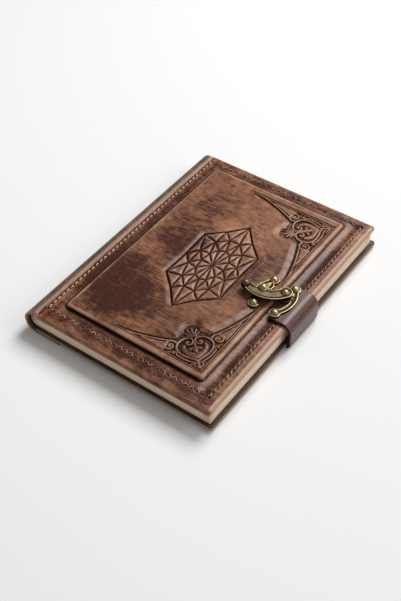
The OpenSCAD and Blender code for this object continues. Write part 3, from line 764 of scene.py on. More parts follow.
def row_places(start: float, end: float, pitch: float) -> Array:
    """The middles of the stitches in a row between two ends, as the frame has them."""
    count = math.floor((end - start) / pitch)
    first = start + ((end - start) - (count - 1) * pitch) / 2
    return first + pitch * np.arange(count)


def rounded_inside(x: Array, y: Array, x0: float, x1: float, y0: float, y1: float, r: float) -> Array:
    """Distance inside a rectangle with rounded corners, negative outside."""
    qx = np.abs(x - (x0 + x1) / 2) - (x1 - x0) / 2 + r
    qy = np.abs(y - (y0 + y1) / 2) - (y1 - y0) / 2 + r
    outside = np.hypot(np.maximum(qx, 0), np.maximum(qy, 0))
    return r - outside - np.minimum(np.maximum(qx, qy), 0)


def distance_to_path(x: Array, y: Array, path: Array) -> tuple[Array, Array]:
    """The distance to a line of points, and how far along it the nearest place is.

    Args:
        x: places along the first axis.
        y: places along the second axis.
        path: an N by 2 array.

    Returns:
        The distance, and the share of the path from 0 to 1.
    """
    best = np.full(x.shape, 1e9)
    share = np.zeros(x.shape)
    count = len(path) - 1
    for k in range(count):
        a, b = path[k], path[k + 1]
        d = b - a
        t = np.clip(((x - a[0]) * d[0] + (y - a[1]) * d[1]) / max(d @ d, 1e-9), 0, 1)
        far = np.hypot(x - a[0] - t * d[0], y - a[1] - t * d[1])
        near = far < best
        best = np.where(near, far, best)
        share = np.where(near, (k + t) / count, share)
    return best, share


def inside_polygon(x: Array, y: Array, corners: Array) -> Array:
    """Whether each place lies inside a polygon."""
    inside = np.zeros(x.shape, bool)
    for k in range(len(corners)):
        (x0, y0), (x1, y1) = corners[k - 1], corners[k]
        if y0 == y1:
            continue
        crosses = ((y0 > y) != (y1 > y)) & (x < (x1 - x0) * (y - y0) / (y1 - y0) + x0)
        inside ^= crosses
    return inside


def curve_through(points: Sequence[tuple[float, float]], steps: int = 6) -> Array:
    """A smooth curve through given points, as a line of points."""
    p = np.array(points, float)
    p = np.vstack([2 * p[0] - p[1], p, 2 * p[-1] - p[-2]])
    out = []
    for k in range(1, len(p) - 2):
        for t in np.arange(steps) / steps:
            out.append(0.5 * (2 * p[k] + (p[k + 1] - p[k - 1]) * t
                              + (2 * p[k - 1] - 5 * p[k] + 4 * p[k + 1] - p[k + 2]) * t ** 2
                              + (3 * p[k] - p[k - 1] - 3 * p[k + 1] + p[k + 2]) * t ** 3))
    out.append(p[-2])
    return np.array(out)


def spiral(middle: tuple[float, float], outer: float, inner: float, start: float, sweep: float,
           steps: int = 22) -> Array:
    """A spiral's points, from its outer end to its inner end; angles in degrees."""
    t = np.linspace(0, 1, steps)
    angle = np.radians(start + sweep * t)
    radius = outer + (inner - outer) * t ** 0.8
    return np.stack([middle[0] + radius * np.cos(angle), middle[1] + radius * np.sin(angle)], 1)


@dataclass(frozen=True)
class CornerCarving:
    """The sunken scrollwork in a corner, in u and v from its own corner.

    The half where u is larger than v is drawn, and the other half mirrors it.
    """

    wing_len: float = 76.0
    neck_u: float = 33.0
    neck_v: float = 14.0
    tip: float = 2.2
    nose: float = 4.0
    ring_at: float = 17.0
    ring_r: float = 14.0
    crown_at: float = 26.6
    crown_r: float = 5.6
    depth: float = 1.2

    def outline(self) -> Array:
        """The sunken field's outline, both halves, without the round parts."""
        u = self.wing_len - (self.wing_len - self.neck_u) * np.linspace(0, 1, 16) ** 1.5
        rise = ((self.wing_len - u) / (self.wing_len - self.neck_u)) ** 1.6
        v = self.tip * np.minimum(1, (self.wing_len - u) / self.nose) + (self.neck_v - self.tip) * rise
        half = list(zip(u, v)) + [(29.5, 17.5)]
        other = [(b, a) for a, b in reversed(half)]
        return np.array([(0.0, 0.0)] + half + other)

    def inside(self, u: Array, v: Array) -> Array:
        """Distance inside the sunken field, negative outside it."""
        outline = self.outline()
        edge, _ = distance_to_path(u, v, np.vstack([outline, outline[:1]]))
        field_d = np.where(inside_polygon(u, v, outline), edge, -edge)
        ring = self.ring_r - np.hypot(u - self.ring_at, v - self.ring_at)
        ring = np.where(np.minimum(u, v) > 0, ring, -1.0)
        crown = self.crown_r - np.hypot(u - self.crown_at, v - self.crown_at)
        return np.maximum(np.maximum(field_d, ring), crown)

    def strokes(self) -> list[tuple[Array, float, float, float]]:
        """The raised strokes: path, half width at its start and end, and height."""
        heart = curve_through([(7.6, 7.6), (12.0, 6.9), (17.4, 5.7), (22.6, 6.0), (26.6, 8.8), (27.9, 13.2),
                               (26.8, 17.8), (23.8, 20.6), (21.0, 20.0), (19.8, 17.4), (20.9, 15.2),
                               (22.9, 15.2), (23.5, 16.9)])
        lobe = curve_through([(10.6, 10.2), (13.8, 9.9), (17.6, 9.4), (21.4, 10.6), (23.0, 12.4)])
        middle = curve_through([(13.2, 13.2), (16.6, 16.6), (19.6, 19.6)])
        side = curve_through([(18.0, 12.8), (16.8, 15.2), (14.6, 15.0)])
        wing_leaf = curve_through([(36.5, 6.8), (44.0, 4.9), (52.0, 3.4)])
        foot = curve_through([(9.0, 4.9), (13.4, 3.7), (17.8, 3.3), (22.0, 3.5)])
        leaves = []
        for degrees, reach, half in ((45, 8.2, 1.7), (19, 7.7, 1.45), (-5, 6.6, 1.2), (-28, 5.0, 0.9)):
            a = math.radians(degrees)
            leaves.append((np.array([(22.6 + s * reach * math.cos(a), 22.6 + s * reach * math.sin(a))
                                     for s in (0.2, 0.5, 0.8, 1.0)]), half, half * 0.45, 1.1))
        return [
            (spiral((31.4, 7.6), 5.0, 1.7, 118, -420), 1.0, 0.7, 1.1), (heart, 1.05, 0.8, 1.15),
            (lobe, 2.5, 1.5, 0.95), (middle, 1.7, 1.1, 1.0), (side, 1.0, 0.6, 0.9),
            (wing_leaf, 1.5, 0.6, 0.9), (foot, 0.7, 1.0, 1.0),
            (spiral((24.9, 4.0), 1.8, 0.8, 180, -260, 10), 0.7, 0.6, 0.95),
            (curve_through([(3.4, 3.4), (5.4, 5.4), (7.2, 7.2)]), 1.6, 0.8, 1.1),
            (curve_through([(4.6, 3.0), (6.8, 2.9), (8.4, 4.3), (7.4, 5.6)]), 0.9, 0.65, 1.0), *leaves]

    def balls(self) -> list[tuple[float, float, float]]:
        """The round bosses: u, v and radius."""
        return [(31.4, 7.6, 1.5), (22.4, 16.9, 1.0), (15.7, 14.0, 0.9), (24.9, 4.0, 0.8), (9.3, 2.6, 0.8)]

    def height(self, u: Array, v: Array) -> Array:
        """Height of the carving below the panel's face, 0 outside the field."""
        far, near = np.maximum(u, v), np.minimum(u, v)
        inside = self.inside(u, v)
        wall = smooth_step(inside, -0.3, 0.45)

        curve, _ = distance_to_path(far, near, self.outline()[1:18])

        def bead(away: Array, middle: float, half: float) -> Array:
            return np.sqrt(np.clip(1 - ((away - middle) / half) ** 2, 0, 1))

        blade = 0.9 * smooth_step(np.minimum(curve - 3.5, near - 2.0), 0.0, 0.7)
        straight = bead(near, 1.15, 0.55)
        wing = np.maximum(np.maximum(bead(curve, 2.4, 0.68) * (near > 1.2), straight), blade)
        raised = np.maximum(straight, wing * smooth_step(far, 31.5, 34.5))
        for path, w0, w1, top in self.strokes():
            d, share = distance_to_path(far, near, path)
            half = w0 + (w1 - w0) * share
            raised = np.maximum(raised, top * np.clip(1 - (d / half) ** 2, 0, 1) ** 0.6)
        for bu, bv, r in self.balls():
            d = np.hypot(far - bu, near - bv)
            raised = np.maximum(raised, 1.2 * np.sqrt(np.clip(1 - (d / r) ** 2, 0, 1)))
        carved = np.minimum(raised, self.depth + 0.05) - self.depth
        on_face = smooth_step(near, 0.0, 4.0)
        press = 0.62 + 0.16 * ripple(u, v, 15.0, 0.6)
        lip = on_face * (0.1 * np.exp(-((inside + 5.0) / 1.6) ** 2) - press * np.exp(-(inside / 2.5) ** 2))
        return wall * carved + (1 - wall) * lip


@dataclass(frozen=True)
class Medallion:
    """The facetted star medallion: rings of points that triangles join."""

    x: float = 0.5
    y: float = 2.0
    half_a: float = 27.0
    half_b: float = 48.0
    count: int = 12
    shares: tuple[float, ...] = (0.0, 0.36, 0.62, 1.0)
    short: float = 0.84
    depth: float = 1.2
    groove: float = 0.5
    soft: float = 2.6
    tilt: float = 0.075

    def point(self, ring: int, index: int) -> Array:
        """A point of a ring; ring 2 is turned by half a step and the rim has short points."""
        angle = 2 * math.pi / self.count * (index + (0.5 if ring == 2 else 0)) + math.pi / 2
        reach = self.shares[ring] * (self.short if ring == 3 and index % 2 else 1)
        return np.array([self.x + self.half_a * reach * math.cos(angle),
                         self.y + self.half_b * reach * math.sin(angle)])

    def triangles(self) -> list[tuple[Array, Array, Array]]:
        """Every facet of the medallion."""
        p = self.point
        out = []
        for i in range(self.count):
            out += [(p(0, 0), p(1, i), p(1, i + 1)), (p(1, i), p(2, i), p(1, i + 1)),
                    (p(2, i), p(2, i + 1), p(1, i + 1)), (p(2, i), p(3, i + 1), p(2, i + 1)),
                    (p(2, i), p(3, i), p(3, i + 1))]
        return out

    def height(self, x: Array, y: Array) -> Array:
        """Height over the panel's face: grooves below it, and pillowy facets that each tilt a little."""
        rim = np.array([self.point(3, i) for i in range(self.count)])
        edge, _ = distance_to_path(x, y, np.vstack([rim, rim[:1]]))
        within = inside_polygon(x, y, rim)
        facets = np.full(x.shape, -self.depth)
        rng = np.random.default_rng(5)
        for a, b, c in self.triangles():
            middle = (a + b + c) / 3
            turn = rng.uniform(0, 2 * math.pi)
            near = np.full(x.shape, 1e9)
            broad = 0.0
            for p, q, r in ((a, b, c), (b, c, a), (c, a, b)):
                normal = np.array([q[1] - p[1], p[0] - q[0]])
                normal = normal / np.linalg.norm(normal)
                if (r - p) @ normal < 0:
                    normal = -normal
                near = np.minimum(near, (x - p[0]) * normal[0] + (y - p[1]) * normal[1])
                broad = max(broad, (middle - p) @ normal)
            soft = min(self.soft, 1.1 * broad)
            share = np.clip((near - self.groove / 2) / soft, 0, 1)
            pillow = np.sqrt(1 - (1 - share) ** 2)
            slope = (x - middle[0]) * math.cos(turn) + (y - middle[1]) * math.sin(turn)
            lean = np.clip(slope * self.tilt, -0.45, 0.3)
            shape = -self.depth + (self.depth + 0.12 + lean) * pillow
            facets = np.where(near > 0, shape, facets)
        press = 0.6 + 0.16 * ripple(x, y, 17.0, 1.9)
        outside = (-self.depth * (1 - smooth_step(edge, 0.3, 1.3)) - press * np.exp(-(edge / 2.4) ** 2)
                   + 0.1 * np.exp(-((edge - 4.8) / 1.5) ** 2))
        return np.where(within, facets, outside * smooth_step(edge, 8.0, 5.0))


@dataclass
class HeightSheet:
    """A closed cover skin made from a height map, with cavity marks for dye and painted shade in hollows, and
    ridge marks for rubbing and painted highlight.

    fine_x and fine_y are stretches where the grid is closer, and shade gives how much of the
    cavity and ridge marks each place keeps.
    """

    name: str
    step: float
    triangles: int
    top: Callable[[Array, Array], Array]
    shade: Callable[[Array, Array], tuple[Array, Array, Array]]
    upside_down: bool = False
    pocket: bool = False
    reach: float = 0.0
    edge_w: float = 2.4
    edge_h: float = 1.7
    fine_share: float = 0.66
    fine_x: tuple[tuple[float, float], ...] = ()
    fine_y: tuple[tuple[float, float], ...] = ()

    @property
    def mid_x(self) -> float:
        """The skin's middle along X."""
        return self.reach / 2

    @property
    def half_w(self) -> float:
        """Half the skin's width."""
        return LAYOUT.half_w + self.reach / 2

    def lines(self, half: float, middle: float, fine: Sequence[tuple[float, float]]) -> Array:
        """Grid lines along one axis, closer together over the rounded edge and in the fine stretches."""
        close = np.array([0.0, 0.04, 0.15, 0.34, 0.62, 1.0, 1.5])
        at, stop = middle - half + close[-1] + self.step, middle + half - close[-1]
        inner = []
        while at < stop - 0.3 * self.step:
            inner.append(at)
            at += self.step * (self.fine_share if any(a < at < b for a, b in fine) else 1.0)
        return np.concatenate([middle - half + close, inner, (middle + half - close)[::-1]])

    def build(self) -> bpy.types.Object:
        """Makes the mesh, thins it to the wanted triangles and stores its marks."""
        lay = LAYOUT
        xs = self.lines(self.half_w, self.mid_x, self.fine_x)
        ys = self.lines(lay.half_h, 0.0, self.fine_y)
        gx, gy = np.meshgrid(xs, ys, indexing="ij")
        inset = np.minimum(self.half_w - np.abs(gx - self.mid_x), lay.half_h - np.abs(gy))
        height = self.top(gx, gy)
        fine = height - box_blur(height, max(1, round(0.7 / self.step)))
        broad = height - box_blur(height, max(2, round(2.4 / self.step)))
        # Cavity marks the hollows for dye and painted shade; the edge term lightens the edge for rubbing and, on
        # the front cover's fore edge, as a painted highlight.
        hollow, rubbed, edge_wear_and_highlight = self.shade(gx, gy)
        cavity = np.clip(-fine / 0.32, 0, 1) * 0.75 + np.clip(-broad / 0.8, 0, 1) * 0.7
        cavity = np.clip(cavity * hollow, 0, 1) * smooth_step(inset, 0.8, 2.6)
        ridge = (np.clip(fine / 0.25, 0, 1) * 0.5 + np.clip(broad / 0.8, 0, 1) * 0.4) * rubbed
        ridge = np.clip(ridge + edge_wear_and_highlight * (1 - smooth_step(inset, 1.4, 3.6)), 0, 1)
        edge = np.clip(inset / self.edge_w, 0, 1)
        drop = self.edge_h * (1 - np.sqrt(1 - (1 - edge) ** 2))
        px, py = self.round_corner(gx, gy, 0.0)
        points = np.stack([px, py, lay.front_z + lay.cover_t + height - drop], -1).reshape(-1, 3)
        obj = self.close(points, len(xs), len(ys), gx, gy)
        tidy_normals(obj)
        self.thin(obj)
        co = points_of(obj)
        self.store_marks(obj, co, xs, ys, np.stack([cavity, ridge], -1))
        if self.upside_down:
            flat = co.copy()
            flat[:, 2] = lay.front_z + lay.cover_t + lay.back_z - flat[:, 2]
            move_points(obj, flat)
            obj.data.flip_normals()
        smooth_shading(obj, 50)
        return obj

    def round_corner(self, x: Array, y: Array, inset: float) -> tuple[Array, Array]:
        """Moves the square corners' points onto the round outline."""
        lay = LAYOUT
        r = max(lay.corner_r - inset, 0.0)
        if r <= 0:
            return x, y
        out = x - self.mid_x
        cx, cy = self.half_w - inset - r, lay.half_h - inset - r
        u, v = np.maximum(np.abs(out) - cx, 0), np.maximum(np.abs(y) - cy, 0)
        both = (u > 0) & (v > 0)
        shrink = np.where(both, np.maximum(u, v) / np.maximum(np.hypot(u, v), 1e-9), 1.0)
        return (np.where(both, self.mid_x + np.sign(out) * (cx + u * shrink), x),
                np.where(both, np.sign(y) * (cy + v * shrink), y))

    def close(self, points: Array, nx: int, ny: int, gx: Array, gy: Array) -> bpy.types.Object:
        """Adds the side, the turned-in strip and the hollow for the board under the height map."""
        lay = LAYOUT
        index = np.arange(nx * ny).reshape(nx, ny)
        quads = np.stack([index[:-1, :-1], index[1:, :-1], index[1:, 1:], index[:-1, 1:]], -1).reshape(-1, 4)
        loop = np.concatenate([index[:-1, 0], index[-1, :-1], index[:0:-1, -1], index[0, :0:-1]])
        edge_x, edge_y = gx.reshape(-1)[loop], gy.reshape(-1)[loop]
        low, ledge = lay.front_z, lay.front_z + lay.lining_t
        board_top = ledge + lay.board_t
        side = [(0.0, low + 0.9), (0.0, low + 0.4), (0.12, low + 0.12), (0.4, low), (lay.turn_in, low),
                (lay.turn_in, ledge), (lay.leather_t, ledge), (lay.leather_t, board_top)]
        rings = []
        for inset, z in side:
            sx = self.mid_x + (edge_x - self.mid_x) * (self.half_w - inset) / self.half_w
            sy = edge_y * (lay.half_h - inset) / lay.half_h
            rings.append((*self.round_corner(sx, sy, inset), z))
        if self.pocket:
            inset = lay.board_inset
            px = np.interp(edge_x, (-lay.half_w, lay.half_w), (lay.panel_x0 + inset, lay.panel_x1 - inset))
            py = np.interp(edge_y, (-lay.half_h, lay.half_h), (lay.panel_y0 + inset, lay.panel_y1 - inset))
            rings += [(px, py, board_top), (px, py, board_top + lay.leather_t)]
        rows, faces = [points], [quads]
        before, total = loop, len(points)
        for rx, ry, z in rings:
            rows.append(np.stack([rx, ry, np.full(len(rx), z)], -1))
            now = np.arange(total, total + len(loop))
            total += len(loop)
            faces.append(np.stack([before, np.roll(before, -1), np.roll(now, -1), now], -1))
            before = now
        obj = new_mesh(self.name, np.vstack(rows), np.vstack(faces))
        bm = bmesh.new()
        bm.from_mesh(obj.data)
        bm.verts.ensure_lookup_table()
        bm.faces.new([bm.verts[i] for i in before])
        bmesh.ops.triangulate(bm, faces=[f for f in bm.faces if len(f.verts) > 4])
        bm.to_mesh(obj.data)
        bm.free()
        return obj

    def thin(self, obj: bpy.types.Object) -> None:
        """Collapses edges where the skin is flat, down to the wanted count."""
        have = triangle_count(obj)
        if have > self.triangles:
            obj.modifiers.new("thin", "DECIMATE").ratio = self.triangles / have
            settle(obj)

    @staticmethod
    def store_marks(obj: bpy.types.Object, co: Array, xs: Array, ys: Array, marks: Array) -> None:
        """Reads the marks from the grid at each point that is left; underneath, it clears the ridge mark and
        gives the cavity mark 0.4, painted shade on the turned-in strip.
        """
        lay = LAYOUT
        ix = np.clip(np.searchsorted(xs, co[:, 0]) - 1, 0, len(xs) - 2)
        iy = np.clip(np.searchsorted(ys, co[:, 1]) - 1, 0, len(ys) - 2)
        tx = np.clip((co[:, 0] - xs[ix]) / (xs[ix + 1] - xs[ix]), 0, 1)[:, None]
        ty = np.clip((co[:, 1] - ys[iy]) / (ys[iy + 1] - ys[iy]), 0, 1)[:, None]
        found = ((marks[ix, iy] * (1 - tx) + marks[ix + 1, iy] * tx) * (1 - ty)
                 + (marks[ix, iy + 1] * (1 - tx) + marks[ix + 1, iy + 1] * tx) * ty)
        upper = co[:, 2] > lay.front_z + lay.cover_t - 2.2
        under = co[:, 2] < lay.front_z + 0.15
        # Painted shade: the turned-in strip underneath is darkened as if shaded by the pages and boards.
        set_attribute(obj, "cavity", np.where(upper, found[:, 0], np.where(under, 0.4, 0.0)))
        set_attribute(obj, "ridge", np.where(under, 0.0, found[:, 1]))


@dataclass
class FrontCover:
    """The tooled front cover: its skin, with the hollow for the board, and its stitching."""

    grid: float = 0.4
    budget: int = 195_000
    corner_u: float = 53.1
    head_v: float = 88.1
    tail_v: float = -85.1
    dish: float = 0.95
    rib_x: float = -73.7
    rib_half: float = 2.0
    rib_rise: float = 0.62
    medallion: Medallion = field(default_factory=Medallion)
    corner: CornerCarving = field(default_factory=CornerCarving)

    def skin_height(self, x: Array, y: Array) -> Array:
        """Height of the skin over the margins' level."""
        lay = LAYOUT
        foot = rounded_inside(x, y, lay.panel_x0, lay.panel_x1, lay.panel_y0, lay.panel_y1, 2.5)
        share = np.clip(foot / lay.panel_roll, 0, 1)
        h = lay.panel_rise * np.sqrt(1 - (1 - share) ** 2)
        h += 0.10 * np.exp(-((foot - 2.9) / 1.3) ** 2) - 0.12 * smooth_step(foot, 4.0, 9.0)
        h -= 0.30 * np.exp(-(np.minimum(foot, 0) / 1.1) ** 2) * (foot < 0.5)
        groove_mid = (lay.panel_x1 + lay.stitch_x1) / 2
        fore = np.clip(1 - ((x - groove_mid) / 5.2) ** 2, 0, 1) * (foot < 0)
        h -= self.dish * fore * smooth_step(y, -101.0, -92.0) * smooth_step(y, 105.0, 98.0)
        for at, half, amount in ((lay.stitch_y0 + 3.6, 3.2, 0.2), (lay.stitch_y1 - 3.2, 2.8, 0.2)):
            h -= amount * np.clip(1 - ((y - at) / half) ** 2, 0, 1) * (foot < 0)
        rib = np.sqrt(np.clip(1 - ((x - self.rib_x) / self.rib_half) ** 2, 0, 1))
        ends = smooth_step(np.abs(y), 107.6, 105.5)
        h = np.where(x < lay.stitch_x0 + 2, h + self.rib_rise * rib * ends, h)
        h -= 0.25 * np.exp(-((x - self.rib_x - self.rib_half - 0.3) / 0.5) ** 2) * ends
        h += 0.05 * ripple(x, y, 31.0, 0.4) + 0.03 * ripple(x, y, 11.0, 2.2)
        return h + self.channels(x, y)

    def channels(self, x: Array, y: Array) -> Array:
        """The pressed channels of the four rows, with the needle holes between the stitches."""
        lay = LAYOUT
        h = np.zeros(x.shape)
        spans = ((0, lay.stitch_x0), (0, lay.stitch_x1), (1, lay.stitch_y0), (1, lay.stitch_y1))
        for axis, at in spans:
            across, along = (x - at, y) if axis == 0 else (y - at, x)
            low, high = (lay.stitch_y0, lay.stitch_y1) if axis == 0 else (lay.stitch_x0, lay.stitch_x1)
            within = smooth_step(along, low - 1.2, low) * smooth_step(along, high + 1.2, high)
            h -= 0.34 * np.exp(-(across / 0.85) ** 2) * within
            places = row_places(low, high, lay.pitch)
            phase = (along - places[0]) / lay.pitch
            from_hole = (phase - 0.5 - np.round(phase - 0.5)) * lay.pitch
            h -= 0.55 * np.exp(-(from_hole ** 2 + across ** 2) / 0.45 ** 2) * within
            h += 0.08 * np.exp(-((np.abs(across) - 1.5) / 0.6) ** 2) * within
        return h

    def height(self, x: Array, y: Array) -> Array:
        """The whole height map: skin, medallion and the two carved corners."""
        h = self.skin_height(x, y)
        m = self.medallion
        close = (np.abs(x - m.x) < m.half_a + 9) & (np.abs(y - m.y) < m.half_b + 9)
        h[close] += m.height(x[close], y[close])
        reach = self.corner.wing_len + 4
        for v in (self.head_v - y, y - self.tail_v):
            u = self.corner_u - x
            close = (u > -3) & (v > -3) & (u < reach) & (v < reach)
            h[close] += self.corner.height(u[close], v[close])
        return h

    def shade(self, x: Array, y: Array) -> tuple[Array, Array, Array]:
        """How strongly the hollows darken, for dye and painted shade (a painted shadow along the panel's tail
        foot, less on the lit fore side), how far the ridges are rubbed, and how light the edge is: rubbed, with
        a painted highlight on the fore edge.
        """
        lay = LAYOUT
        # Painted light: less painted shade in the hollows on the fore side, where the light falls, and a painted
        # shadow along the panel's tail foot.
        fore_side = smooth_step(x, lay.panel_x1 - 1, lay.panel_x1 + 0.5) * smooth_step(x, 66.0, 64.0)
        tail_foot = (y < lay.panel_y0 + 1.5) & (x > lay.panel_x0 - 2) & (x < lay.panel_x1 + 1)
        hollow = (1 - 0.7 * fore_side) * (1 + 0.4 * tail_foot)
        spine_strip = 0.75 * smooth_step(x, -70.5, -72.5)
        rubbed = 0.55 + 0.45 * smooth_step(ripple(x, y, 37.0, 0.7), -0.4, 0.8)
        # The edge is lighter all round where it is rubbed, and much lighter along the fore edge as a painted
        # highlight.
        fore_edge = smooth_step(x, 70.0, 74.0)
        edge_wear_and_highlight = 0.28 + 0.67 * fore_edge * smooth_step(np.abs(y), 107.0, 103.0) + spine_strip
        return hollow, rubbed, edge_wear_and_highlight

    def build(self, effects: Effects, stitches: "Stitching") -> None:
        """Builds and dresses the cover's pieces."""
        step = self.grid * 1.0
        skin = HeightSheet("front_cover_leather", step, self.budget, self.height, self.shade, pocket=True,
                           fine_x=((17.0, 55.0),), fine_y=((-87.0, -50.0), (53.0, 90.0))).build()
        dress(skin, COVER_FINISH.build(effects))
        place(skin, Body.FRONT, Slot.COVER, ["front_leather"])
        lay = LAYOUT
        half = lay.pitch / 2
        rows = [Row((lay.stitch_x0, lay.stitch_y0), (lay.stitch_x0, lay.stitch_y1), 0.05, slant=0.16, size=0.84),
                Row((lay.stitch_x1, lay.stitch_y0), (lay.stitch_x1, lay.stitch_y1), 0.42, slant=0.5, size=0.74),
                Row((lay.stitch_x0 + 2, lay.stitch_y0), (lay.stitch_x1 - 2, lay.stitch_y0), 0.66, half, 0.75,
                    0.72, True),
                Row((lay.stitch_x0 + 2, lay.stitch_y1), (lay.stitch_x1 - 2, lay.stitch_y1), 0.72, half, 0.75,
                    0.72, True)]
        thread = stitches.rows("front_cover_stitches", rows, lay.face_z - 0.06, 1.0)
        place(thread, Body.FRONT, Slot.THREAD, ["front_stitches"])


@dataclass
class BackCover:
    """The plain back cover, its stitched border and the thread of the strap's tail under it."""

    grid: float = 0.9
    budget: int = 40_000

    def height(self, x: Array, y: Array) -> Array:
        """Height of the underside: nearly flat, with the stitched border's channel."""
        channels = FrontCover().channels(x, y)
        edge = np.minimum(LAYOUT.half_w - np.abs(x), LAYOUT.half_h - np.abs(y))
        return np.minimum(0.03 * ripple(x, y, 40.0, 1.0) - 0.05, 0) + channels * (edge > 1)

    @staticmethod
    def shade(x: Array, y: Array) -> tuple[Array, Array, Array]:
        """Plain hollows and ridges, and a light rubbed edge."""
        even = np.ones(x.shape)
        return even, even, 0.6 * even

    def build(self, effects: Effects, stitches: "Stitching") -> None:
        """Builds and dresses the cover's pieces."""
        skin = HeightSheet("back_cover_leather", self.grid, self.budget, self.height, self.shade,
                           upside_down=True, reach=LAYOUT.back_reach, edge_w=1.7, edge_h=1.5).build()
        dress(skin, BACK_FINISH.build(effects))
        place(skin, Body.BACK, Slot.COVER, ["back_leather"])
        lay = LAYOUT
        rows = [Row((lay.stitch_x1, lay.stitch_y0), (lay.stitch_x1, -20.0), 0.4),
                Row((lay.stitch_x1, 20.0), (lay.stitch_x1, lay.stitch_y1), 0.4),
                Row((-52.0, lay.stitch_y0), (lay.stitch_x1 - 0.9, lay.stitch_y0), 0.5),
                Row((-52.0, lay.stitch_y1), (lay.stitch_x1 - 0.9, lay.stitch_y1), 0.5)]
        thread = stitches.rows("back_cover_stitches", rows, lay.back_z + 0.1, -1.0)
        place(thread, Body.BACK, Slot.THREAD, ["back_stitches"])
        tail = stitches.rows("strap_tail_thread", [Row((34.0, -15.5), (34.0, 15.5), 0.4)], 0.88, -1.0)
        place(tail, Body.BACK, Slot.THREAD, ["strap_tail_stitches"])


@dataclass(frozen=True)
class Row:
    """A row of stitches: its ends, its tone, its pitch, and each stitch's slant and size."""

    start: tuple[float, float]
    end: tuple[float, float]
    tone: float
    pitch: float = LAYOUT.pitch
    slant: float = 0.1
    size: float = 1.0
    crossed: bool = False


@dataclass
class Stitching:
    """Rows of hand stitches, laid by one Geometry Nodes tree."""

    material: bpy.types.Material
    length: float = 2.9
    thread: float = 0.62
    rise: float = 0.42
    tree: bpy.types.NodeTree = field(init=False)

    def __post_init__(self) -> None:
        """Builds the tree once."""
        self.tree = self.build_tree()

    def build_tree(self) -> bpy.types.NodeTree:
        """The tree: a stitch is bent from a short curve and set on every point of the rows."""
        group = bpy.data.node_groups.new("stitch_rows", "GeometryNodeTree")
        face = group.interface
        face.new_socket("Geometry", in_out="INPUT", socket_type="NodeSocketGeometry")
        for label, default in (("Length", 0.003), ("Thread radius", 0.0005), ("Rise", 0.0004), ("Side", 1.0)):
            face.new_socket(label, in_out="INPUT", socket_type="NodeSocketFloat").default_value = default
        face.new_socket("Material", in_out="INPUT", socket_type="NodeSocketMaterial")
        face.new_socket("Geometry", in_out="OUTPUT", socket_type="NodeSocketGeometry")
        tree = Tree(group)
        entry, end = tree.node("NodeGroupInput"), tree.node("NodeGroupOutput")
        half = tree.math("MULTIPLY", entry.outputs["Length"], 0.5)
        back = tree.math("MULTIPLY", half, -1.0)
        lift = tree.math("MULTIPLY", entry.outputs["Rise"], entry.outputs["Side"])
        sink = tree.math("MULTIPLY", lift, -1.3)
        top = tree.math("MULTIPLY", lift, 2.2)
        start = tree.node("ShaderNodeCombineXYZ", {0: back, 2: sink}).outputs[0]
        peak = tree.node("ShaderNodeCombineXYZ", {2: top}).outputs[0]
        stop = tree.node("ShaderNodeCombineXYZ", {0: half, 2: sink}).outputs[0]
        bow = tree.node("GeometryNodeCurveQuadraticBezier",
                        {"Resolution": 7, "Start": start, "Middle": peak, "End": stop}).outputs[0]
        ring = tree.node("GeometryNodeCurvePrimitiveCircle",
                         {"Resolution": 7, "Radius": entry.outputs["Thread radius"]}).outputs[0]
        stitch = tree.node("GeometryNodeCurveToMesh", {"Curve": bow, "Profile Curve": ring, "Fill Caps": True})
        turn = tree.node("GeometryNodeInputNamedAttribute", {"Name": "turn"}, data_type="FLOAT")
        uneven = tree.node("FunctionNodeRandomValue", {2: -0.1, 3: 0.1, "Seed": 7}, data_type="FLOAT")
        angle = tree.math("ADD", turn.outputs[0], uneven.outputs[1])
        spin = tree.node("ShaderNodeCombineXYZ", {2: angle}).outputs[0]
        size = tree.node("FunctionNodeRandomValue", {2: 0.9, 3: 1.08, "Seed": 3}, data_type="FLOAT")
        share = tree.node("GeometryNodeInputNamedAttribute", {"Name": "size"}, data_type="FLOAT").outputs[0]
        copies = tree.node("GeometryNodeInstanceOnPoints",
                           {"Points": entry.outputs["Geometry"], "Instance": stitch.outputs[0],
                            "Rotation": spin, "Scale": tree.math("MULTIPLY", size.outputs[1], share)})
        real = tree.node("GeometryNodeRealizeInstances", {0: copies.outputs[0]})
        dressed = tree.node("GeometryNodeSetMaterial",
                            {"Geometry": real.outputs[0], "Material": entry.outputs["Material"]})
        group.links.new(dressed.outputs[0], end.inputs[0])
        return group

    def rows(self, name: str, rows: Iterable[Row], z: float, side: float) -> bpy.types.Object:
        """Lays stitches along straight rows.

        Args:
            name: the piece's name.
            rows: the rows.
            z: the level of the leather.
            side: 1 where the thread stands up, -1 where it hangs down.

        Returns:
            The stitches as one plain mesh.
        """
        rng = np.random.default_rng(23)
        points, marks = [], []
        for row in rows:
            (x0, y0), (x1, y1) = row.start, row.end
            upright = x0 == x1
            low, high = (y0, y1) if upright else (x0, x1)
            for count, at in enumerate(row_places(low, high, row.pitch)):
                points.append((x0, at, z) if upright else (at, y0, z))
                slant = -row.slant if row.crossed and count % 2 else row.slant
                tone = row.tone + (0.35 if row.crossed else 0.12) * rng.uniform(-1, 1)
                marks.append(((math.pi / 2 if upright else 0.0) + slant, tone, row.size))
        obj = new_mesh(name, np.array(points), [])
        for label, values in zip(("turn", "row_tone", "size"), np.array(marks).T):
            set_attribute(obj, label, values)
        modifier = obj.modifiers.new("stitches", "NODES")
        modifier.node_group = self.tree
        values = {"Length": self.length * MM, "Thread radius": self.thread * MM, "Rise": self.rise * MM,
                  "Side": side, "Material": self.material}
        for item in self.tree.interface.items_tree:
            if item.in_out == "INPUT" and item.name in values:
                modifier[item.identifier] = values[item.name]
        settle(obj)
        all_smooth(obj)
        obj.data.update()
        return obj


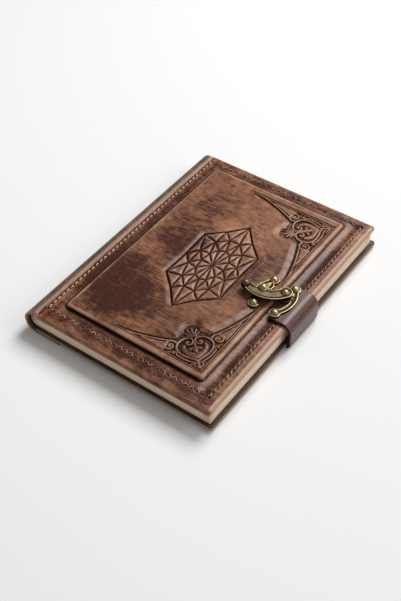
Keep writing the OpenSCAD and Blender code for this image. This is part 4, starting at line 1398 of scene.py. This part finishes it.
@dataclass
class PageBlock:
    """All the leaves as one solid whose edges show the leaves as fine ridges."""

    leaves: int = 46
    square: float = 2.8
    square_fore: float = 1.3
    back_round: float = 4.2
    back_x: float = -76.4
    step: float = 7.0

    def build(self, effects: Effects) -> None:
        """Builds the block as a stack of outlines, each a little in or out of line."""
        lay = LAYOUT
        rng = np.random.default_rng(11)
        mid = lay.pages_z + lay.pages_t / 2
        leaf = lay.pages_t / self.leaves
        levels, insets = [], []
        for k in range(self.leaves):
            inset = 0.05 + 0.16 * rng.random()
            low = lay.pages_z + k * leaf
            levels += [low + 0.02, low + 0.12 * leaf, low + 0.88 * leaf]
            insets += [inset + 0.14, inset, inset]
        levels += [lay.pages_z + lay.pages_t - 0.01]
        insets += [insets[-1] + 0.12]
        rows = []
        long_x, long_y = lay.half_w - self.square_fore, lay.half_h - self.square
        for z, inset in zip(levels, insets):
            bulge = self.back_round * math.sqrt(max(1 - ((z - mid) / (lay.pages_t / 2)) ** 2, 0.0))
            x0, x1, y1 = self.back_x - bulge, long_x - inset, long_y - inset
            nx, ny = int((x1 - self.back_x) / self.step), int(2 * y1 / self.step)
            xs = np.linspace(x0, x1, nx + 1)
            ys = np.linspace(-y1, y1, ny + 1)
            loop = ([(x, -y1) for x in xs[:-1]] + [(x1, y) for y in ys[:-1]]
                    + [(x, y1) for x in xs[:0:-1]] + [(x0, y) for y in ys[:0:-1]])
            loop = np.array(loop)
            wave = 0.05 * np.sin(loop[:, 0] * 0.13 + z * 2.1) * np.sin(loop[:, 1] * 0.09 + z * 1.3)
            loop *= 1 - (wave / lay.half_h)[:, None] - 0.0003
            rows.append(np.column_stack([loop, np.full(len(loop), z)]))
        count = len(rows[0])
        faces = sleeve_faces(len(rows), count)
        faces.append(tuple(range(count))[::-1])
        faces.append(tuple(range((len(rows) - 1) * count, len(rows) * count)))
        obj = new_mesh("page_block", np.vstack(rows), faces)
        tidy_normals(obj)
        dress(obj, PAPER_FINISH.build(effects))
        place(obj, Body.PAGES, Slot.PAGES, ["text_block"])


@dataclass
class Ribbon:
    """A band of leather: a section of outer and inner points, drawn out along Y."""

    name: str
    outer: Array
    inner: Array
    half_len: float
    end_round: float = 0.7
    rows: int = 40

    def build(self) -> bpy.types.Object:
        """Makes the closed band, a little thinner at its two ends."""
        middle = (self.outer + self.inner) / 2
        reach = self.half_len
        soft = self.end_round * np.array([0.0, 0.12, 0.4, 1.0])
        thick = [0.42, 0.72, 0.94, 1.0]
        inner_ys = np.linspace(-reach + self.end_round, reach - self.end_round, self.rows)[1:-1]
        ys = np.concatenate([-reach + soft, inner_ys, (reach - soft)[::-1]])
        shares = thick + [1.0] * len(inner_ys) + thick[::-1]
        n = len(self.outer)
        points = []
        for y, share in zip(ys, shares):
            ring = np.vstack([middle + (self.outer - middle) * share,
                              (middle + (self.inner - middle) * share)[::-1]])
            points.append(np.column_stack([ring[:, 0], np.full(2 * n, y), ring[:, 1]]))
        obj = new_mesh(self.name, np.vstack(points), band_faces(len(ys), 2 * n))
        tidy_normals(obj)
        smooth_shading(obj, 45)
        co = points_of(obj)
        set_attribute(obj, "ridge", 0.75 * (1 - smooth_step(reach - np.abs(co[:, 1]), 0.1, 1.6)))
        set_attribute(obj, "cavity", np.zeros(len(co)))
        return obj


@dataclass
class Spine:
    """The spine leather, wrapped round the back from one cover to the other."""

    joint_x: float = -76.4
    outer_a: float = 8.1
    inner_a: float = 5.8
    mid_z: float = 9.2
    inner_h: float = 8.3
    flap_end: float = -61.0
    leg_end: float = -54.0
    seam: float = 251.0

    def arc(self, a: float, h: float, start: float, stop: float, count: int) -> Array:
        """Points of an ellipse behind the joint, angles in degrees."""
        t = np.radians(np.linspace(start, stop, count))
        return np.column_stack([self.joint_x + a * np.cos(t), self.mid_z + h * np.sin(t)])

    def build(self, effects: Effects) -> None:
        """Builds the wrap in two bands that meet near the table, each across one joint."""
        material = SPINE_FINISH.build(effects)
        outer = np.vstack([self.arc(self.outer_a, self.mid_z, self.seam, 96, 60),
                           curve_through([(-76.75, 18.28), (-76.28, 17.9), (-76.14, 17.2), (-76.1, 16.7),
                                          (-75.7, 16.32)], 3),
                           np.column_stack([np.linspace(-74.5, self.flap_end, 8), np.full(8, 16.28)])])
        inner = np.vstack([self.arc(self.inner_a, self.inner_h, self.seam, 104, 60),
                           curve_through([(-77.3, 17.1), (-77.15, 16.9), (-76.95, 16.5), (-76.7, 16.1),
                                          (-76.1, 15.74)], 3),
                           np.column_stack([np.linspace(-74.5, self.flap_end, 8), np.full(8, 15.72)])])
        front = Ribbon("spine_wrap", outer, inner, LAYOUT.half_h).build()
        dress(front, material)
        across_joint(front, Body.PAGES, Body.FRONT, (-78.5, 17.0), (-75.6, 17.0))
        declare(front, ["spine_leather", "hinge_flap"])
        leg_x = np.linspace(-75.4, self.leg_end + 0.5, 14)
        outer = np.vstack([self.arc(self.outer_a, self.mid_z, self.seam, 269, 10),
                           np.column_stack([leg_x, np.zeros(14)]), [(self.leg_end, 0.14)]])
        inner = np.vstack([self.arc(self.inner_a, self.inner_h, self.seam, 269, 10),
                           np.column_stack([leg_x, np.full(14, 0.88)]), [(self.leg_end, 0.7)]])
        back = Ribbon("spine_wrap_foot", outer, inner, LAYOUT.half_h).build()
        dress(back, material)
        across_joint(back, Body.PAGES, Body.BACK, (-79.0, 0.0), (-75.2, 0.0))
        declare(back, ["back_flap"])


@dataclass
class Strap:
    """The strap: from its skived tail under the back cover, up and over onto the front cover."""

    half_w: float = 18.5
    tail_x: float = 30.0
    foot_x: float = 77.4
    foot_r: float = 2.6
    outer_x: float = 81.0
    thick: float = 2.0
    tail_thick: float = 0.66
    tail_top: float = 0.86
    bend_r: float = 7.2
    top_z: float = 21.0
    end_x: float = 61.0
    end_r: float = 4.0

    def path(self) -> tuple[Array, Array]:
        """The middle line in X and Z, and the thickness at each of its points."""
        side_x = self.outer_x - self.thick / 2
        tail_z = self.tail_top - self.tail_thick / 2
        bend_x, bend_z = side_x - self.bend_r, self.top_z - self.bend_r
        tail = [(x, tail_z) for x in np.linspace(self.tail_x, self.foot_x - 0.5, 16)]
        foot_z = tail_z + self.foot_r
        foot = [(self.foot_x + self.foot_r * math.cos(a), foot_z + self.foot_r * math.sin(a))
                for a in np.radians(np.linspace(-90, 0, 14))]
        side = [(side_x + 0.25 * math.sin(math.pi * (z - foot_z) / (bend_z - foot_z)) - 0.25, z)
                for z in np.linspace(foot_z, bend_z, 12)[1:-1]]
        bend = [(bend_x + self.bend_r * math.cos(a), bend_z + self.bend_r * math.sin(a))
                for a in np.radians(np.linspace(0, 90, 28))]
        top = [(x, self.top_z) for x in np.linspace(bend_x - 0.8, self.end_x + 4.2, 6)]
        end = [(self.end_x + 4.0 - 4.0 * s, self.top_z)
               for s in (0.0, 0.2, 0.4, 0.6, 0.75, 0.87, 0.95, 0.99, 1.0)]
        line = np.array(tail + foot + side + bend + top + end)
        thick = np.interp(np.arange(len(line)), [0, 2, 16, 29],
                          [0.3, self.tail_thick, self.tail_thick, self.thick])
        return line, thick

    def build(self, effects: Effects) -> None:
        """Builds the strap with rounded edges and lets it bend where it meets the table."""
        line, thick = self.path()
        tangent = np.gradient(line, axis=0)
        tangent /= np.linalg.norm(tangent, axis=1)[:, None]
        normal = np.column_stack([tangent[:, 1], -tangent[:, 0]])
        left = np.maximum(line[:, 0] - self.end_x, 0) + 100.0 * (np.arange(len(line)) < len(line) - 15)
        pull = np.where(left < self.end_r,
                        self.end_r - np.sqrt(np.clip(self.end_r ** 2 - (self.end_r - left) ** 2, 0, None)), 0)
        across = np.array([1.0, 0.996, 0.985, 0.965, 0.93, 0.6, 0.2])
        widths = np.concatenate([-across, across[::-1]])
        edge_share = np.interp(np.abs(widths), [0.9, 0.965, 0.985, 0.996, 1.0], [1.0, 0.93, 0.78, 0.5, 0.22])
        end_share = np.interp(left, [0, 0.05, 0.25, 0.7], [0.25, 0.5, 0.85, 1.0])
        rings = []
        for k, (p, n) in enumerate(zip(line, normal)):
            half = thick[k] / 2 * np.minimum(edge_share, end_share[k])
            y = widths * (self.half_w - pull[k])
            out = np.column_stack([p[0] + n[0] * half, y, p[1] + n[1] * half])
            inn = np.column_stack([p[0] - n[0] * half, y, p[1] - n[1] * half])[::-1]
            rings.append(np.vstack([out, inn]))
        obj = new_mesh("strap", np.vstack(rings), band_faces(len(rings), len(rings[0])))
        tidy_normals(obj)
        smooth_shading(obj, 50)
        co = points_of(obj)
        edge = 1 - smooth_step(self.half_w - np.abs(co[:, 1]), 0.1, 0.9)
        set_attribute(obj, "cavity", 0.8 * edge * (co[:, 2] > 1.0))
        bend = np.exp(-((co[:, 2] - 16.5) / 4.0) ** 2) * (co[:, 0] > 74)
        set_attribute(obj, "ridge", 0.25 * bend * (1 - edge))
        dress(obj, STRAP_FINISH.build(effects))
        across_joint(obj, Body.BACK, Body.STRAP, (80.0, 0.9), (80.0, 4.2))
        declare(obj, ["strap_tail", "strap"])


@dataclass
class Casting:
    """A brass piece with the soft edges of a casting, made from the frame's own solid."""

    node: str
    name: str
    body: Body
    slot: Slot
    voxel: float = 0.2
    passes: int = 4
    budget: int = 24_000
    rim: float = 0.0
    top_z: float = 0.0
    ball: tuple[float, float, float, float] | None = None

    def build(self, material: bpy.types.Material) -> None:
        """Copies the solid, softens its edges and marks its high and low places."""
        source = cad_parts[self.node]
        obj = bpy.data.objects.new(self.name, source.data.copy())
        bpy.context.scene.collection.objects.link(obj)
        obj.data.materials.clear()
        seat(obj, 1.0)
        tidy_normals(obj, merge=2e-6)
        remesh = obj.modifiers.new("skin", "REMESH")
        remesh.mode = "VOXEL"
        remesh.voxel_size = self.voxel * MM
        soften = obj.modifiers.new("soften", "SMOOTH")
        soften.factor = 0.5
        soften.iterations = self.passes
        settle(obj)
        have = triangle_count(obj)
        if have > self.budget:
            obj.modifiers.new("thin", "DECIMATE").ratio = self.budget / have
            settle(obj)
        for data in list(obj.data.attributes):
            if data.name in ("sharp_face", "material_index"):
                obj.data.attributes.remove(data)
        all_smooth(obj)
        if self.rim:
            self.raise_rim(obj)
            even = obj.modifiers.new("even", "SMOOTH")
            even.factor, even.iterations = 0.5, 3
            settle(obj)
        self.mark(obj, 0.85 if self.rim else 0.0)
        dress(obj, material)
        place(obj, self.body, self.slot, [self.node])

    def raise_rim(self, obj: bpy.types.Object) -> None:
        """Raises a bead round the outline of the piece's flat top and rounds its finger ball."""
        co = points_of(obj)
        up = read_points(obj, "normal")[:, 2]
        walls = np.flatnonzero((np.abs(up) < 0.35) & (co[:, 2] < self.top_z) & (co[:, 2] > self.top_z - 1.2))
        tree = KDTree(len(walls))
        for count, index in enumerate(walls):
            tree.insert((co[index, 0], co[index, 1], 0.0), count)
        tree.balance()
        tops = np.flatnonzero((up > 0.5) & (np.abs(co[:, 2] - self.top_z) < 0.45))
        far = np.array([tree.find((co[index, 0], co[index, 1], 0.0))[2] for index in tops])
        bead = np.exp(-((far - 0.6) / 0.5) ** 2)
        co[tops, 2] += self.rim * bead - self.rim * smooth_step(far, 0.9, 1.8)
        if self.ball:
            middle, r = np.array(self.ball[:3]), self.ball[3]
            out = co - middle
            away = np.linalg.norm(out, axis=1)
            near = (away < r + 0.35) & (away > r * 0.5) & (co[:, 2] > middle[2] - 2.2)
            co[near] = middle + out[near] / away[near, None] * r
        move_points(obj, co)
        obj.data.update()

    @staticmethod
    def mark(obj: bpy.types.Object, painted_wall_shade: float) -> None:
        """Stores how far each point stands out of or below its neighbours' mean, and paints shade on upright
        sides.

        Args:
            obj: the casting.
            painted_wall_shade: how much painted shade its upright sides get, from 0 to 1.
        """
        mesh = obj.data
        co = points_of(obj)
        edges = np.zeros(len(mesh.edges) * 2, np.int32)
        mesh.edges.foreach_get("vertices", edges)
        edges = edges.reshape(-1, 2)
        normals = read_points(obj, "normal")
        smooth = co.copy()
        degree = np.bincount(edges.ravel(), minlength=len(co)).clip(1)[:, None]
        for _ in range(6):
            total = np.zeros_like(co)
            np.add.at(total, edges[:, 0], smooth[edges[:, 1]])
            np.add.at(total, edges[:, 1], smooth[edges[:, 0]])
            smooth = total / degree
        out = ((co - smooth) * normals).sum(1)
        # Painted shade: upright sides darken as if turned away from the light.
        wall = painted_wall_shade * (1 - smooth_step(np.abs(normals[:, 2]), 0.3, 0.75))
        set_attribute(obj, "ridge", np.clip(out / 0.16, 0, 1) * (1 - wall))
        set_attribute(obj, "cavity", np.clip(np.maximum(-out / 0.07, wall), 0, 1))


def dress_nodes(effects: Effects) -> None:
    """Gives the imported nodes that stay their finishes."""
    lining, board = LINING_FINISH.build(effects), BOARD_FINISH.build(effects)
    for node in ("back_lining", "front_lining", "spine_liner"):
        dress(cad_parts[node], lining)
    for node in ("back_board", "front_board", "panel_board"):
        dress(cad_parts[node], board)


def build_clasp(effects: Effects) -> None:
    """Builds every brass piece of the clasp."""
    aged, polished = AGED_FINISH.build(effects), POLISHED_FINISH.build(effects)
    for node in ("catch_washers", "strap_washers"):
        dress(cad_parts[node], aged)
    for casting, metal in (
            (Casting("catch_plate", "clasp_catch_plate", Body.FRONT, Slot.AGED, rim=0.14, top_z=23.3), aged),
            (Casting("strap_plate", "clasp_strap_plate", Body.STRAP, Slot.AGED, rim=0.14, top_z=23.4), aged),
            (Casting("clasp_arm", "clasp_swing_arm", Body.ARM, Slot.AGED, passes=5, budget=40_000, rim=0.18,
                     top_z=27.9, ball=(34.1, -4.6, 27.0, 3.6)), aged),
            (Casting("catch_rivets", "clasp_catch_rivets", Body.FRONT, Slot.POLISHED, passes=3), polished),
            (Casting("strap_rivets", "clasp_strap_rivets", Body.STRAP, Slot.POLISHED, passes=3), polished),
            (Casting("catch_post", "clasp_catch_post", Body.FRONT, Slot.POLISHED, passes=3), polished),
            (Casting("arm_pin", "clasp_pivot_pin", Body.STRAP, Slot.POLISHED, passes=3), polished)):
        casting.build(metal)


# Camera, light and floor


@dataclass(frozen=True)
class Lamp:
    """A soft box: where it stands, how wide it is and its power in watts."""

    name: str
    place: tuple[float, float, float]
    size: float
    power: float


@dataclass
class Studio:
    """The camera at the photographed angle, soft lamps and a pale floor."""

    eye: tuple[float, float, float] = (0.30665, -0.4202, 0.5289)
    azimuth: float = 36.8
    elevation: float = 46.3
    roll: float = -1.3
    lens: float = 60.0
    lamps: tuple[Lamp, ...] = (
        Lamp("window_back", (0.05, 0.94, 1.16), 0.8, 19.8),
        Lamp("window_right", (1.05, 0.5, 0.85), 0.9, 5.2),
        Lamp("fill_front", (0.2, -1.3, 1.1), 1.4, 1.6))
    floor_far: float = 0.85
    floor_near: float = 0.98
    world_level: float = 0.21
    mirrored_level: float = 0.22

    def build(self) -> None:
        """Sets the view transform and makes the camera, the lamps, the world and the floor."""
        scene = bpy.context.scene
        scene.view_settings.view_transform = "Standard"
        self.camera()
        for lamp in self.lamps:
            data = bpy.data.lights.new(lamp.name, "AREA")
            data.size = lamp.size
            data.energy = lamp.power
            obj = bpy.data.objects.new(lamp.name, data)
            obj.location = lamp.place
            obj.rotation_euler = (-Vector(lamp.place)).to_track_quat("-Z", "Y").to_euler()
            scene.collection.objects.link(obj)
        self.world()
        self.floor()

    def camera(self) -> None:
        """Places the camera from its azimuth, elevation and roll."""
        a, e, r = (math.radians(v) for v in (self.azimuth, self.elevation, self.roll))
        back = Vector((math.sin(a) * math.cos(e), -math.cos(a) * math.cos(e), math.sin(e)))
        right = Vector((math.cos(a), math.sin(a), 0))
        up = back.cross(right)
        c, s = math.cos(r), math.sin(r)
        right, up = c * right + s * up, -s * right + c * up
        data = bpy.data.cameras.new("camera")
        data.lens = self.lens
        data.sensor_width = 36.0
        obj = bpy.data.objects.new("camera", data)
        turn = Matrix((right, up, back)).transposed().to_4x4()
        obj.matrix_world = Matrix.Translation(self.eye) @ turn
        bpy.context.scene.collection.objects.link(obj)
        bpy.context.scene.camera = obj

    def world(self) -> None:
        """A plain world: white to the camera, and softer as light and in reflections."""
        world = bpy.data.worlds.new("studio")
        bpy.context.scene.world = world
        world.use_nodes = True
        world.node_tree.nodes.clear()
        tree = Tree(world.node_tree)
        path = tree.node("ShaderNodeLightPath").outputs
        level = tree.band(path["Is Glossy Ray"], 0.0, 1.0, self.world_level, self.mirrored_level)
        level = tree.math("MAXIMUM", level, tree.math("MULTIPLY", path["Is Camera Ray"], 0.95))
        shader = tree.node("ShaderNodeBackground", {"Color": (1, 1, 1, 1), "Strength": level})
        tree.node("ShaderNodeOutputWorld", {"Surface": shader.outputs[0]})

    def floor(self) -> None:
        """A wide pale floor that keeps the shadow; its colour is painted lighter towards the camera and the left
        and darker towards the far right, as painted light that evens out the lamps.
        """
        reach = 3000.0
        corners = np.array([(-reach, -reach, 0), (reach, -reach, 0), (reach, reach, 0), (-reach, reach, 0)])
        obj = new_mesh("floor", corners, [(0, 1, 2, 3)])
        material, tree, shader, vector = start_material("pale_floor")
        far, near = self.floor_far, self.floor_near
        # Painted light: the floor's colour grades across the floor in place of an even light.
        along = tree.node("ShaderNodeVectorMath", {0: vector, 1: (0.49, 0.87, 0.0)}, operation="DOT_PRODUCT")
        share = tree.band(along.outputs["Value"], -0.25, 0.25)
        colour = tree.mix(share, (near, near, near, 1), (far, far, far, 1))
        tree.feed(shader, {"Base Color": colour, "Roughness": 0.9, "Specular IOR Level": 0.1})
        dress(obj, material)


def main() -> None:
    """Builds the notebook, sub-assembly by sub-assembly."""
    logging.basicConfig(level=logging.INFO, format="%(name)s: %(message)s")
    Studio().build()
    effects = Effects.build()
    stitches = Stitching(THREAD_FINISH.build(effects))
    FrontCover().build(effects, stitches)
    BackCover().build(effects, stitches)
    PageBlock().build(effects)
    Spine().build(effects)
    Strap().build(effects)
    build_clasp(effects)
    dress_nodes(effects)


if __name__ == "__main__":
    main()
